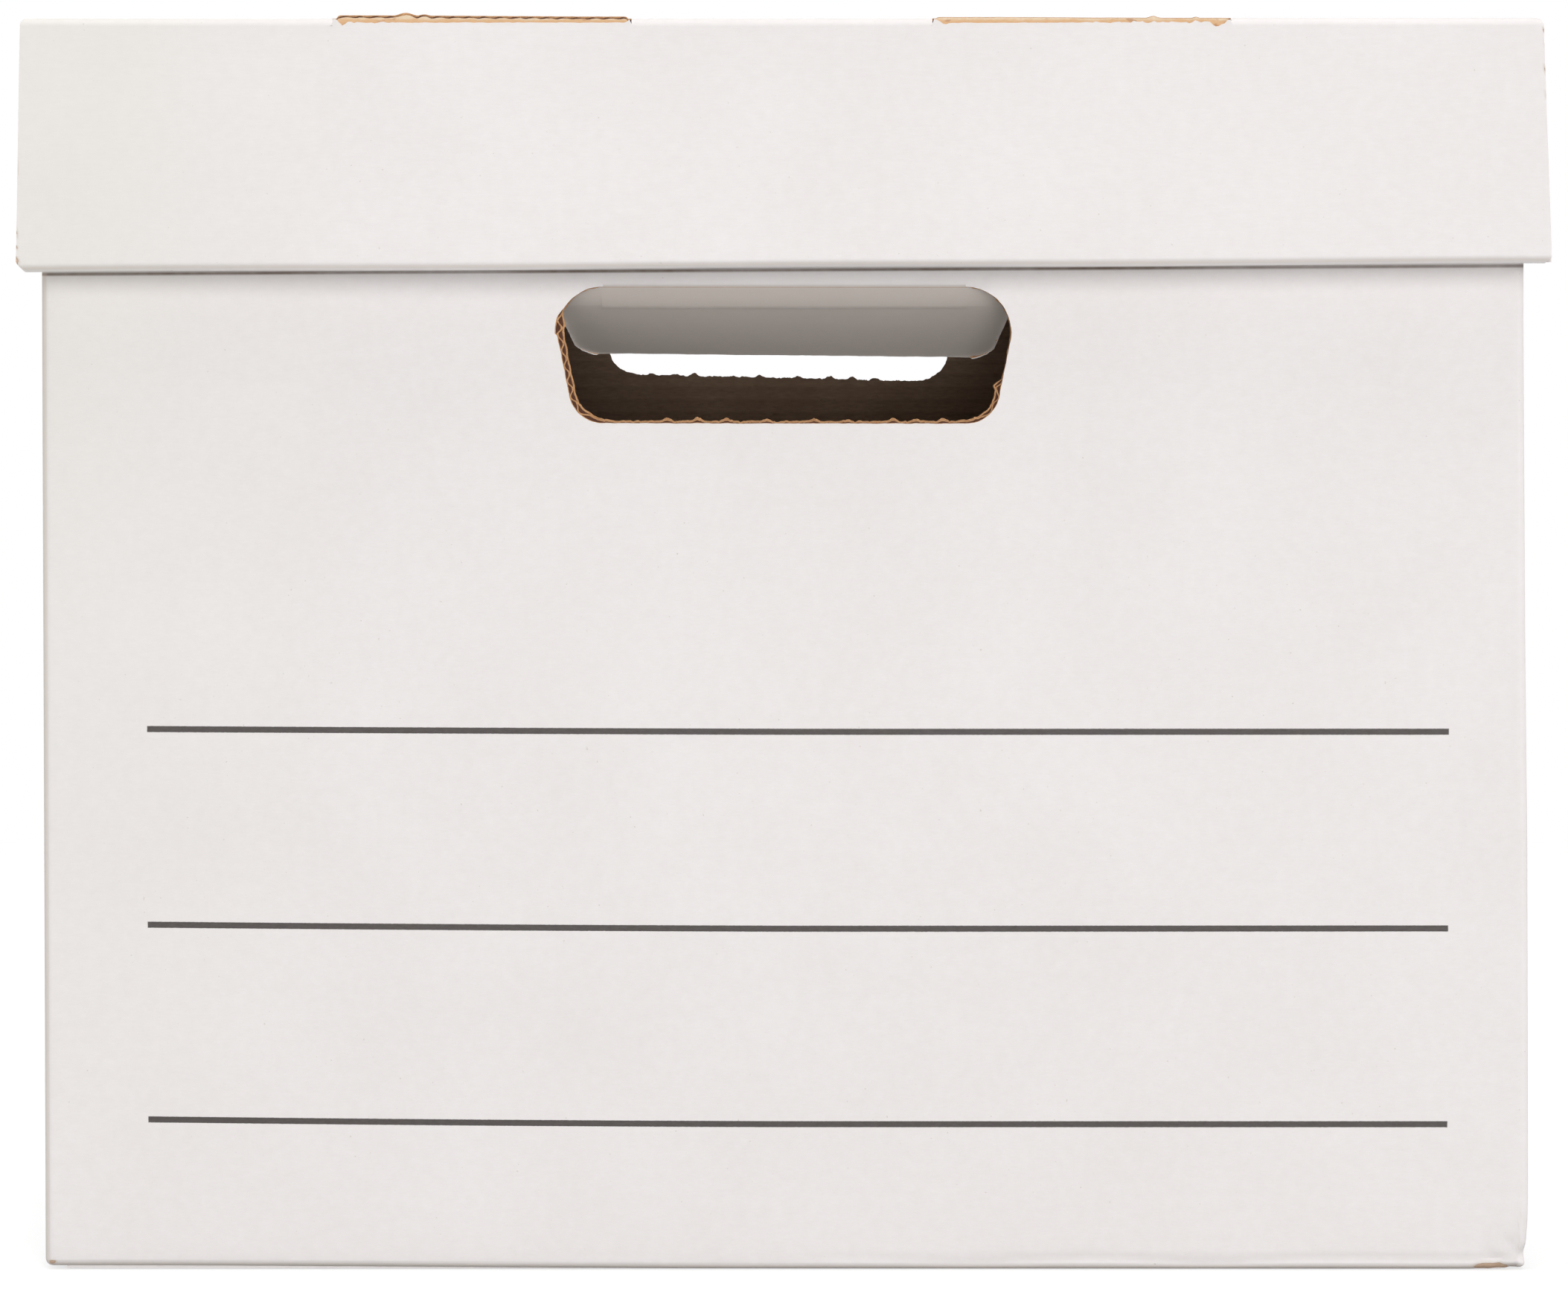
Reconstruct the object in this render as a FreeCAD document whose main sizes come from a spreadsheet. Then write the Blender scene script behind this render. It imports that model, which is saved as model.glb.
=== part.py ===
"""Storage box with a lift-off lid, folded from two sheets of thin corrugated board.

Every panel between two creases is a piece of its own. The box stands on z = 0 with its centre on
the origin; x is its width, y its depth, and the lined end with the open hand hole faces -y.
"""
import FreeCAD, Part
import os

import Sketcher

# Driving sizes in millimetres and degrees: name, value, what it is.
SIZES = (
    ("board", 1.6, "thickness of the corrugated board"),
    ("fold_radius", 1.5, "outer radius of a folded edge"),
    ("inside_width", 304.8, "clear width inside the body"),
    ("inside_depth", 381.0, "clear depth inside the body"),
    ("inside_height", 255.0, "clear height from the double bottom to the rim"),
    ("bottom_slot", 4.5, "cut back of an outer bottom flap from the body's side"),
    ("bottom_gap", 2.0, "gap between two bottom flaps that meet in the middle"),
    ("bottom_taper", 6.0, "how much narrower a bottom flap is on each side at its free edge"),
    ("bottom_end_gap", 1.0, "clearance of an inner bottom flap from the end panels"),
    ("bottom_corner_radius", 6.0, "round corner at a bottom flap's free edge"),
    ("lap_width", 35.0, "width of the glue lap"),
    ("lap_taper", 12.0, "height that the glue lap loses at its free edge"),
    ("lap_trim", 3.0, "distance of the glue lap from the rim and from the bottom"),
    ("crease_drop", 53.6, "from the rim down to the hand flap's crease"),
    ("hole_height", 28.2, "height of the hand hole"),
    ("hole_top_width", 98.1, "width of the hand hole's outline at the crease, before rounding"),
    ("hole_bottom_width", 86.8, "width of the hand hole's outline at its lower edge, before rounding"),
    ("hole_top_radius", 9.4, "round upper corner of the hand hole"),
    ("hole_bottom_radius", 6.9, "round lower corner of the hand hole"),
    ("flap_kerf", 0.3, "running gap round the hand flap and its crease"),
    ("flap_angle", 60.0, "how far the hand flap stands pushed in"),
    ("lid_side_clearance", 1.4, "gap between the body and a side flange"),
    ("lid_end_clearance", 3.2, "gap between the body and a rolled end"),
    ("flange_left", 52.1, "height of an end flange at its left, as seen from outside that end"),
    ("flange_right", 50.2, "height of an end flange at its right"),
    ("side_flange", 50.0, "height of a side flange"),
    ("flange_flare", 1.45, "how far a side flange leans out at its lower edge"),
    ("flange_corner_cut", 2.0, "cut off lower corner of an end flange"),
    ("tab_length", 61.0, "length of a lock tab"),
    ("tab_spacing", 123.6, "distance between the middles of an end's two lock tabs"),
    ("tab_rise", 0.6, "how far a lock tab stands above the lid's top"),
    ("tab_slot_clearance", 0.3, "gap round a lock tab in its slot"),
    ("bend_margin", 1.5, "flat stretch between a lock tab and the bend of the inner flange"),
    ("bend_run", 6.0, "length of the bend by which the inner flange passes round a corner flap"),
    ("corner_flap_gap", 1.0, "gap between that bend and the corner flap"),
    ("corner_flap_height", 44.0, "height of a corner flap"),
    ("corner_flap_taper", 8.0, "height that a corner flap loses at its free edge"),
    ("corner_flap_trim", 1.0, "distance of a corner flap from the lid's top panel"),
    ("rim_end_gap", 1.0, "gap between the rolled-in board and a side flange"),
)

# Sizes that follow from the driving ones.
WORKED_OUT = (
    ("half_width", "=inside_width / 2 + board", "half of the body's outer width"),
    ("half_depth", "=inside_depth / 2 + board", "half of the body's outer depth"),
    ("rim_height", "=inside_height + 2 * board", "height of the body's rim, over two layers of bottom"),
    ("lid_top", "=rim_height + board", "height of the lid's upper face"),
    ("lid_half_width", "=half_width + lid_side_clearance + board", "half of the lid's width at its top"),
    ("lid_half_depth", "=half_depth + lid_end_clearance + 3 * board", "half of the lid's depth"),
    ("crease_height", "=rim_height - crease_drop", "height of the hand flap's crease"),
    ("hole_floor", "=crease_height - hole_height", "height of the hand hole's lower edge"),
    ("hole_slant", "=(hole_top_width - hole_bottom_width) / 2 / hole_height", "slope of its sides"),
    ("hole_stretch", "=sqrt(1 + hole_slant * hole_slant)", "length of its side over its height"),
    (
        "crease_length",
        "=hole_top_width - 2 * hole_top_radius * (hole_stretch + hole_slant)",
        "straight crease between the two round upper corners",
    ),
    ("tab_start", "=tab_spacing / 2 - tab_length / 2", "inner end of a lock tab, from the middle"),
    ("tab_end", "=tab_spacing / 2 + tab_length / 2", "outer end of a lock tab, from the middle"),
    ("bend_start", "=tab_end + bend_margin", "where the inner flange starts to bend"),
    ("bend_end", "=bend_start + bend_run", "where that bend ends"),
    ("rolled_half_width", "=lid_half_width - board - rim_end_gap", "half of the rolled-in width"),
    ("flange_spread", "=flange_flare / (side_flange - board)", "lean of a side flange as a slope"),
    ("flange_slope", "=(flange_left - flange_right) / 2 / lid_half_width", "slope of an end's lower edge"),
    ("flange_middle", "=lid_top - (flange_left + flange_right) / 2", "height of that edge in the middle"),
)

# The four sides of the box, as turns about the vertical that bring the front there, with the
# direction in which each lies from the middle.
SIDES = {
    "front": (0, (0, -1)),
    "rear": (180, (0, 1)),
    "left": (-90, (-1, 0)),
    "right": (90, (1, 0)),
}
ENDS = ("front", "rear")
FLANKS = ("left", "right")

doc = FreeCAD.newDocument("storage_box")
sheet = doc.addObject("Spreadsheet::Sheet", "Sizes")
pieces = []


def fill_sheet():
    """Write every size into the sheet, one row each, with its name as alias."""
    for row, (alias, content, note) in enumerate(SIZES + WORKED_OUT, 1):
        sheet.set(f"A{row}", note)
        sheet.set(f"B{row}", str(content))
        sheet.setAlias(f"B{row}", alias)
    doc.recompute()


def number(expression):
    """The present value of an expression on the sheet's sizes."""
    return float(sheet.evalExpression(expression))


def new_piece(label):
    """A new body that becomes one node of the object."""
    body = doc.addObject("PartDesign::Body", label)
    body.Label = label
    pieces.append(body)
    return body


def stand_at(body, side, distance, inwards="0", height="0", lean="0"):
    """Place a body at one side of the box.

    The body's own x runs along that side and its own y runs inwards. distance is how far the side
    lies from the middle, inwards how far the body's origin lies behind it, and lean the angle by
    which the body is turned about its own x.
    """
    turn, (across, along) = SIDES[side]
    reach = f"({distance} - ({inwards}))"
    body.setExpression(
        "Placement",
        f"placement(vector({across} * {reach}; {along} * {reach}; {height}); "
        f"rotation(vector(0; 0; 1); {turn}) * rotation(vector(1; 0; 0); {lean}))",
    )


def new_sketch(body, name, plane):
    """An empty sketch on one of the body's own origin planes."""
    sketch = body.newObject("Sketcher::SketchObject", f"{body.Name}_{name}")
    support = next(item for item in body.Origin.OriginFeatures if item.Role == plane)
    sketch.AttachmentSupport = (support, [""])
    sketch.MapMode = "FlatFace"
    return sketch


def add_loop(sketch, corners):
    """Add a closed outline of straight edges through corners, each a pair of expressions."""
    first = sketch.GeometryCount
    count = len(corners)
    points = [FreeCAD.Vector(number(across), number(up), 0) for across, up in corners]
    for place in range(count):
        sketch.addGeometry(Part.LineSegment(points[place], points[(place + 1) % count]), False)
    for place in range(count):
        following = first + (place + 1) % count
        sketch.addConstraint(Sketcher.Constraint("Coincident", first + place, 2, following, 1))
    for place, (across, up) in enumerate(corners):
        edge = first + place
        tie(sketch, Sketcher.Constraint("DistanceX", -1, 1, edge, 1, points[place].x), across)
        tie(sketch, Sketcher.Constraint("DistanceY", -1, 1, edge, 1, points[place].y), up)


def tie(sketch, constraint, expression):
    """Add a constraint and bind its size to an expression."""
    index = sketch.addConstraint(constraint)
    sketch.setExpression(f"Constraints[{index}]", expression)


def pad(body, sketch, length, backwards=False, both_ways=False):
    """Give a sketch its thickness, along the plane's normal unless told otherwise."""
    feature = body.newObject("PartDesign::Pad", f"{sketch.Name}_pad")
    feature.Profile = sketch
    feature.setExpression("Length", length)
    feature.Reversed = backwards
    feature.SideType = "Symmetric" if both_ways else "One side"
    doc.recompute()
    return feature


def cut_through(body, sketch):
    """Cut a sketch's outline right through the body, on both sides of the sketch."""
    feature = body.newObject("PartDesign::Pocket", f"{sketch.Name}_cut")
    feature.Profile = sketch
    feature.Type = "ThroughAll"
    feature.SideType = "Symmetric"
    before = feature.BaseFeature.Shape.Volume
    doc.recompute()
    if not feature.Shape.Volume < before:
        raise RuntimeError(f"{feature.Name} removes nothing")
    return feature


def edges_on(feature, **levels):
    """Names of a feature's edges whose ends all lie on the given levels of x, y and z."""
    found = []
    for place, edge in enumerate(feature.Shape.Edges, 1):
        ends = [vertex.Point for vertex in edge.Vertexes]
        if all(abs(getattr(end, axis) - level) < 1e-4 for end in ends for axis, level in levels.items()):
            found.append(f"Edge{place}")
    return found


def round_edges(body, feature, name, radius, *groups):
    """Round the named edges of the body's last feature."""
    rounding = body.newObject("PartDesign::Fillet", f"{body.Name}_{name}")
    rounding.Base = (feature, [edge for group in groups for edge in group])
    rounding.setExpression("Radius", radius)
    doc.recompute()
    return rounding


def rectangle(left, low, right, high):
    """The four corners of an upright rectangle."""
    return [(left, low), (right, low), (right, high), (left, high)]


def plate(body, name, corners, plane="XZ_Plane", backwards=False):
    """A piece of board of the given outline, one board thick."""
    sketch = new_sketch(body, name, plane)
    add_loop(sketch, corners)
    return pad(body, sketch, "Sizes.board", backwards)


def end_panel(side):
    """An end panel of the body: full width, with its folded edges and the hand hole."""
    body = new_piece(f"{side}_end_panel")
    wide = "Sizes.half_width"
    panel = plate(body, "outline", rectangle(f"-{wide}", "0", wide, "Sizes.rim_height"), backwards=True)
    corner = number(wide)
    folded = round_edges(
        body,
        panel,
        "folds",
        "Sizes.fold_radius",
        edges_on(panel, x=-corner, y=0),
        edges_on(panel, x=corner, y=0),
        edges_on(panel, y=0, z=0),
    )
    top = "Sizes.hole_top_width / 2"
    low = "Sizes.hole_bottom_width / 2"
    outline = new_sketch(body, "hand_hole", "XZ_Plane")
    add_loop(
        outline,
        [
            (f"-{top}", "Sizes.crease_height"),
            (top, "Sizes.crease_height"),
            (low, "Sizes.hole_floor"),
            (f"-{low}", "Sizes.hole_floor"),
        ],
    )
    hole = cut_through(body, outline)
    crease = number("Sizes.crease_height")
    floor = number("Sizes.hole_floor")
    upper = round_edges(
        body,
        hole,
        "upper_corners",
        "Sizes.hole_top_radius",
        edges_on(hole, x=number(top), z=crease),
        edges_on(hole, x=-number(top), z=crease),
    )
    lower = round_edges(
        body,
        upper,
        "lower_corners",
        "Sizes.hole_bottom_radius",
        edges_on(upper, x=number(low), z=floor),
        edges_on(upper, x=-number(low), z=floor),
    )
    crease_seat(body)
    stand_at(body, side, "Sizes.half_depth")


def crease_seat(body):
    """Hollow out the panel above the crease, where the board of the turning flap rolls."""
    seat = new_sketch(body, "crease_seat", "YZ_Plane")
    middle = FreeCAD.Vector(number("Sizes.board"), number("Sizes.crease_height"), 0)
    radius = number("Sizes.board + Sizes.flap_kerf")
    seat.addGeometry(Part.Circle(middle, FreeCAD.Vector(0, 0, 1), radius), False)
    tie(seat, Sketcher.Constraint("DistanceX", -1, 1, 0, 3, middle.x), "Sizes.board")
    tie(seat, Sketcher.Constraint("DistanceY", -1, 1, 0, 3, middle.y), "Sizes.crease_height")
    tie(seat, Sketcher.Constraint("Radius", 0, radius), "Sizes.board + Sizes.flap_kerf")
    hollow = body.newObject("PartDesign::Pocket", f"{body.Name}_crease_seat_cut")
    hollow.Profile = seat
    hollow.SideType = "Symmetric"
    hollow.setExpression("Length", "Sizes.crease_length")
    doc.recompute()


def hand_flap(side):
    """The tongue cut out of the hand hole, turned inwards about the crease on the inner face."""
    body = new_piece(f"{side}_hand_flap")
    inset = "Sizes.flap_kerf * (Sizes.hole_stretch - Sizes.hole_slant)"
    top = f"(Sizes.hole_top_width / 2 - Sizes.flap_kerf * (Sizes.hole_stretch + Sizes.hole_slant))"
    low = f"(Sizes.hole_bottom_width / 2 - {inset})"
    high = "-Sizes.flap_kerf"
    foot = "(Sizes.flap_kerf - Sizes.hole_height)"
    corners = [(f"-{top}", high), (top, high), (low, foot), (f"-{low}", foot)]
    tongue = plate(body, "tongue", corners)
    upper = round_edges(
        body,
        tongue,
        "upper_corners",
        "Sizes.hole_top_radius - Sizes.flap_kerf",
        edges_on(tongue, x=number(top), z=number(high)),
        edges_on(tongue, x=-number(top), z=number(high)),
    )
    round_edges(
        body,
        upper,
        "lower_corners",
        "Sizes.hole_bottom_radius - Sizes.flap_kerf",
        edges_on(upper, x=number(low), z=number(foot)),
        edges_on(upper, x=-number(low), z=number(foot)),
    )
    crease_roll(body)
    lean = "Sizes.flap_angle"
    stand_at(body, side, "Sizes.half_depth", "Sizes.board", "Sizes.crease_height", lean)


def crease_roll(body):
    """The bent board at the crease: a quarter round about the hinge line, one board in radius."""
    board = number("Sizes.board")
    depth = number("2 * Sizes.flap_kerf")
    roll = new_sketch(body, "crease_roll", "YZ_Plane")
    hinge_foot = FreeCAD.Vector(0, -depth, 0)
    outer_foot = FreeCAD.Vector(-board, -depth, 0)
    outer_head = FreeCAD.Vector(-board, 0, 0)
    crown = FreeCAD.Vector(0, board, 0)
    shoulder = FreeCAD.Vector(-board, board, 0).normalize() * board
    roll.addGeometry(Part.LineSegment(hinge_foot, outer_foot), False)
    roll.addGeometry(Part.LineSegment(outer_foot, outer_head), False)
    roll.addGeometry(Part.Arc(crown, shoulder, outer_head), False)
    roll.addGeometry(Part.LineSegment(crown, hinge_foot), False)
    roll.addConstraint(Sketcher.Constraint("Coincident", 0, 2, 1, 1))
    roll.addConstraint(Sketcher.Constraint("Coincident", 1, 2, 2, 2))
    roll.addConstraint(Sketcher.Constraint("Coincident", 2, 1, 3, 1))
    roll.addConstraint(Sketcher.Constraint("Coincident", 3, 2, 0, 1))
    roll.addConstraint(Sketcher.Constraint("Coincident", 2, 3, -1, 1))
    roll.addConstraint(Sketcher.Constraint("Horizontal", 0))
    roll.addConstraint(Sketcher.Constraint("Vertical", 1))
    roll.addConstraint(Sketcher.Constraint("PointOnObject", 2, 1, -2))
    roll.addConstraint(Sketcher.Constraint("PointOnObject", 2, 2, -1))
    roll.addConstraint(Sketcher.Constraint("PointOnObject", 3, 2, -2))
    tie(roll, Sketcher.Constraint("Radius", 2, board), "Sizes.board")
    tie(roll, Sketcher.Constraint("DistanceY", -1, 1, 0, 1, -depth), "-2 * Sizes.flap_kerf")
    pad(body, roll, "Sizes.crease_length - 2 * Sizes.flap_kerf", both_ways=True)


def side_panel(side):
    """A side panel of the body, between the end panels, with its folded lower edge."""
    body = new_piece(f"{side}_side_panel")
    reach = "Sizes.inside_depth / 2"
    corners = rectangle(f"-{reach}", "Sizes.board", reach, "Sizes.rim_height")
    panel = plate(body, "outline", corners, backwards=True)
    round_edges(body, panel, "fold", "Sizes.fold_radius", edges_on(panel, y=0, z=number("Sizes.board")))
    stand_at(body, side, "Sizes.half_width")


def glue_lap():
    """The strip that closes the tube: folded from the left side, glued inside the rear panel."""
    body = new_piece("glue_lap")
    start = "Sizes.inside_width / 2"
    free = f"({start} - Sizes.lap_width)"
    low = "(3 * Sizes.board + Sizes.lap_trim)"
    high = "(Sizes.rim_height - Sizes.lap_trim)"
    plate(
        body,
        "outline",
        [
            (start, low),
            (start, high),
            (free, f"{high} - Sizes.lap_taper"),
            (free, f"{low} + Sizes.lap_taper"),
        ],
        backwards=True,
    )
    stand_at(body, "rear", "Sizes.half_depth", "Sizes.board")


def bottom_flap(side, distance, half_root, meeting, height):
    """A flap folded in under the body, tapering to its free edge at the meeting line."""
    body = new_piece(f"bottom_{side}_flap")
    half_tip = f"({half_root} - Sizes.bottom_taper)"
    corners = [
        (f"-{half_root}", "Sizes.board"),
        (half_root, "Sizes.board"),
        (half_tip, meeting),
        (f"-{half_tip}", meeting),
    ]
    flap = plate(body, "outline", corners, plane="XY_Plane")
    round_edges(
        body,
        flap,
        "corners",
        "Sizes.bottom_corner_radius",
        edges_on(flap, x=number(half_tip), y=number(meeting)),
        edges_on(flap, x=-number(half_tip), y=number(meeting)),
    )
    stand_at(body, side, distance, height=height)


def lid_top_panel():
    """The lid's flat top, with four folded edges and an open slot for each lock tab."""
    body = new_piece("lid_top_panel")
    wide = "Sizes.lid_half_width"
    deep = "Sizes.lid_half_depth"
    panel = plate(body, "outline", rectangle(f"-{wide}", f"-{deep}", wide, deep), plane="XY_Plane")
    upper = number("Sizes.board")
    folded = round_edges(
        body,
        panel,
        "folds",
        "Sizes.fold_radius",
        edges_on(panel, z=upper),
    )
    slots = new_sketch(body, "tab_slots", "XY_Plane")
    start = "(Sizes.tab_start - Sizes.tab_slot_clearance)"
    end = "(Sizes.tab_end + Sizes.tab_slot_clearance)"
    outside = f"({deep} + Sizes.board)"
    inside = f"({deep} - 2 * Sizes.board - Sizes.tab_slot_clearance)"
    add_loop(slots, rectangle(start, f"-{outside}", end, f"-{inside}"))
    add_loop(slots, rectangle(f"-{end}", f"-{outside}", f"-{start}", f"-{inside}"))
    add_loop(slots, rectangle(start, inside, end, outside))
    add_loop(slots, rectangle(f"-{end}", inside, f"-{start}", outside))
    cut_through(body, slots)
    stand_at(body, "front", "0", height="Sizes.rim_height")


def lid_side_flange(side):
    """A side flange: it hangs from the top panel's underside and leans out a little."""
    body = new_piece(f"lid_{side}_side_flange")
    drop = "(Sizes.side_flange - Sizes.board)"
    section = new_sketch(body, "section", "YZ_Plane")
    add_loop(
        section,
        [
            ("0", "0"),
            ("Sizes.board", "0"),
            ("Sizes.board - Sizes.flange_flare", f"-{drop}"),
            ("-Sizes.flange_flare", f"-{drop}"),
        ],
    )
    pad(body, section, "2 * (Sizes.lid_half_depth - Sizes.board)", both_ways=True)
    stand_at(body, side, "Sizes.lid_half_width", height="Sizes.rim_height")


def lower_edge(across):
    """Height of an end flange's slightly slanting lower edge at a place across the end."""
    return f"(Sizes.flange_middle + Sizes.flange_slope * ({across}))"


def lid_corner_flap(end, flank):
    """A corner flap: folded from a side flange, trapped behind the outer end flange."""
    body = new_piece(f"lid_{end}_{flank}_corner_flap")
    sign = "-" if (end == "front") == (flank == "left") else ""
    fold = "(Sizes.lid_half_width - Sizes.board)"
    high = "(Sizes.rim_height - Sizes.corner_flap_trim)"
    low = f"({high} - Sizes.corner_flap_height)"
    free = "(Sizes.bend_end + Sizes.corner_flap_gap)"
    corners = [
        (f"{sign}({fold} + Sizes.flange_spread * (Sizes.rim_height - {high}))", high),
        (f"{sign}({fold} + Sizes.flange_spread * (Sizes.rim_height - {low}))", low),
        (f"{sign}{free}", f"{low} + Sizes.corner_flap_taper"),
        (f"{sign}{free}", high),
    ]
    plate(body, "outline", corners, backwards=True)
    stand_at(body, end, "Sizes.lid_half_depth", "Sizes.board")


def lid_outer_flange(end):
    """The outer end flange: full width, a little deeper at its left than at its right."""
    body = new_piece(f"lid_{end}_outer_flange")
    wide = "Sizes.lid_half_width"
    cut = "Sizes.flange_corner_cut"
    lean = "Sizes.flange_spread"
    left_foot = f"({wide} + {lean} * (Sizes.flange_left - Sizes.board))"
    right_foot = f"({wide} + {lean} * (Sizes.flange_right - Sizes.board))"
    left_low = lower_edge(f"-{left_foot}")
    right_low = lower_edge(right_foot)
    corners = [
        (f"-{wide}", "Sizes.rim_height"),
        (wide, "Sizes.rim_height"),
        (f"{right_foot} - {lean} * {cut}", f"{right_low} + {cut}"),
        (f"{right_foot} - {cut}", lower_edge(f"{right_foot} - {cut}")),
        (f"-({left_foot} - {cut})", lower_edge(f"-({left_foot} - {cut})")),
        (f"-({left_foot} - {lean} * {cut})", f"{left_low} + {cut}"),
    ]
    panel = plate(body, "outline", corners, backwards=True)
    round_low_fold(body, panel, "0")
    stand_at(body, end, "Sizes.lid_half_depth")


def round_low_fold(body, feature, level):
    """Round the long lower edge of an end's board on the face at the given level of y."""
    long_edges = [
        name
        for name in edges_on(feature, y=number(level))
        if feature.Shape.getElement(name).BoundBox.XLength > number("Sizes.half_width")
    ]
    lowest = min(long_edges, key=lambda name: feature.Shape.getElement(name).BoundBox.ZMin)
    return round_edges(body, feature, "fold", "Sizes.fold_radius", [lowest])


def lid_rim_strip(end):
    """The strip between the two creases of the roll-over, level with the outer flange's edge."""
    body = new_piece(f"lid_{end}_rim_strip")
    wide = "Sizes.rolled_half_width"
    left = lower_edge(f"-{wide}")
    right = lower_edge(wide)
    sketch = new_sketch(body, "outline", "XZ_Plane")
    corners = [
        (f"-{wide}", left),
        (wide, right),
        (wide, f"{right} + Sizes.board"),
        (f"-{wide}", f"{left} + Sizes.board"),
    ]
    add_loop(sketch, corners)
    strip = pad(body, sketch, "2 * Sizes.board", backwards=True)
    round_low_fold(body, strip, "2 * Sizes.board")
    stand_at(body, end, "Sizes.lid_half_depth", "Sizes.board")


def lid_inner_flange(end):
    """The rolled-in end flange.

    It lies against the outer flange in the middle, passes round the corner flaps at both ends, and
    its two lock tabs stand up through the slots of the top panel.
    """
    body = new_piece(f"lid_{end}_inner_flange")
    flat = "Sizes.bend_start"
    bent = "Sizes.bend_end"
    reach = "Sizes.rolled_half_width"
    near = "Sizes.board"
    middle = "2 * Sizes.board"
    far = "3 * Sizes.board"
    plan = new_sketch(body, "plan", "XY_Plane")
    add_loop(
        plan,
        [
            (f"-{reach}", middle),
            (f"-{bent}", middle),
            (f"-{flat}", near),
            (flat, near),
            (bent, middle),
            (reach, middle),
            (reach, far),
            (bent, far),
            (flat, middle),
            (f"-{flat}", middle),
            (f"-{bent}", far),
            (f"-{reach}", far),
        ],
    )
    base = lower_edge(f"-{reach}")
    tab_top = f"(Sizes.lid_top + Sizes.tab_rise - {base})"
    pad(body, plan, tab_top)
    shoulder = f"(Sizes.rim_height - Sizes.tab_slot_clearance - {base})"
    over = f"({tab_top} + Sizes.board)"
    aside = f"({reach} + Sizes.board)"
    under = f"-{aside}"
    trim = new_sketch(body, "tabs", "XZ_Plane")
    add_loop(trim, rectangle(f"-{aside}", shoulder, "-Sizes.tab_end", over))
    add_loop(trim, rectangle("-Sizes.tab_start", shoulder, "Sizes.tab_start", over))
    add_loop(trim, rectangle("Sizes.tab_end", shoulder, aside, over))
    add_loop(
        trim,
        [
            (under, "-Sizes.board"),
            (aside, "-Sizes.board"),
            (aside, f"{lower_edge(aside)} + Sizes.board - {base}"),
            (under, f"{lower_edge(under)} + Sizes.board - {base}"),
        ],
    )
    cut_through(body, trim)
    stand_at(body, end, "Sizes.lid_half_depth", height=base)


def write_pieces():
    """Check every object and every piece, then write one file for each piece."""
    doc.recompute()
    for item in doc.Objects:
        if "Invalid" in item.State or "Error" in item.State:
            raise RuntimeError(f"{item.Name} is {item.State}")
    for body in pieces:
        if body.Shape.isNull() or not body.Shape.isValid():
            raise RuntimeError(f"{body.Label} has no valid shape")
        if len(body.Shape.Solids) != 1:
            raise RuntimeError(f"{body.Label} has {len(body.Shape.Solids)} solids")
    os.makedirs("parts", exist_ok=True)
    for body in pieces:
        body.Shape.exportStep(f"parts/{body.Label}.step")
        print(f"{body.Label}: {body.Shape.Volume:.0f} mm3")


def main():
    """Build the body, then the lid, and write every piece."""
    fill_sheet()
    for end in ENDS:
        end_panel(end)
        hand_flap(end)
        wide = "(Sizes.half_width - Sizes.bottom_slot)"
        bottom_flap(end, "Sizes.half_depth", wide, "Sizes.half_depth - Sizes.bottom_gap / 2", "0")
    for flank in FLANKS:
        side_panel(flank)
        wide = "(Sizes.inside_depth / 2 - Sizes.bottom_end_gap)"
        bottom_flap(flank, "Sizes.half_width", wide, "Sizes.half_width - Sizes.bottom_gap / 2", "Sizes.board")
    glue_lap()
    lid_top_panel()
    for flank in FLANKS:
        lid_side_flange(flank)
    for end in ENDS:
        lid_outer_flange(end)
        lid_rim_strip(end)
        lid_inner_flange(end)
        for flank in FLANKS:
            lid_corner_flap(end, flank)
    write_pieces()


main()
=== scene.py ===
"""Looks of a corrugated storage box with a lift-off lid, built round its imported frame.

Shapes are worked out in millimetres and become metres when a mesh is made. Each panel is worked out
in its own side's axes, with x along the side, y inwards from the outer face and z up, and is then
set in the frame's axes (x across, y to the rear, z up).
"""

import logging
import math
from dataclasses import dataclass
from enum import Enum
from functools import cached_property
from typing import Callable

import bmesh
import bpy
import numpy as np
from mathutils import Euler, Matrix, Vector


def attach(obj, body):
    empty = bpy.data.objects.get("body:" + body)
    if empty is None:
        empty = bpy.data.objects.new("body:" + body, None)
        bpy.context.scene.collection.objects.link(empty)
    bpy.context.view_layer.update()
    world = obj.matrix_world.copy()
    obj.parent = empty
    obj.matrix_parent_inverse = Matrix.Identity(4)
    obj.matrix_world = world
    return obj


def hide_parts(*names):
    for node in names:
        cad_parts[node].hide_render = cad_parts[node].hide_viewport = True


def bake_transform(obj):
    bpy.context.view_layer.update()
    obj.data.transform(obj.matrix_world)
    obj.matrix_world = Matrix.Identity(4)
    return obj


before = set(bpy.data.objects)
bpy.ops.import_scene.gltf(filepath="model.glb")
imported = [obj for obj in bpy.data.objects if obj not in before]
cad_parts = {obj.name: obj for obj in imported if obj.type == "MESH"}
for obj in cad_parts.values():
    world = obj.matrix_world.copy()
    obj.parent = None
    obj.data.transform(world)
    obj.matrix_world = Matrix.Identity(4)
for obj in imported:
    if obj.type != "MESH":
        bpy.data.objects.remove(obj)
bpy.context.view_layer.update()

MM = 0.001
WELD = 0.006 * MM
SLIVER = 0.001 * MM
SHARP_TURN = math.radians(38)
LOG = logging.getLogger("storage_box")
Array = np.ndarray
Warp = Callable[[Array], Array]


# Small helpers on whole arrays.
def points(across: Array | float, depth: Array | float, up: Array | float) -> Array:
    """Points put together from their three parts, spread to one shape."""
    return np.stack(np.broadcast_arrays(across, depth, up), axis=-1)


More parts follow.
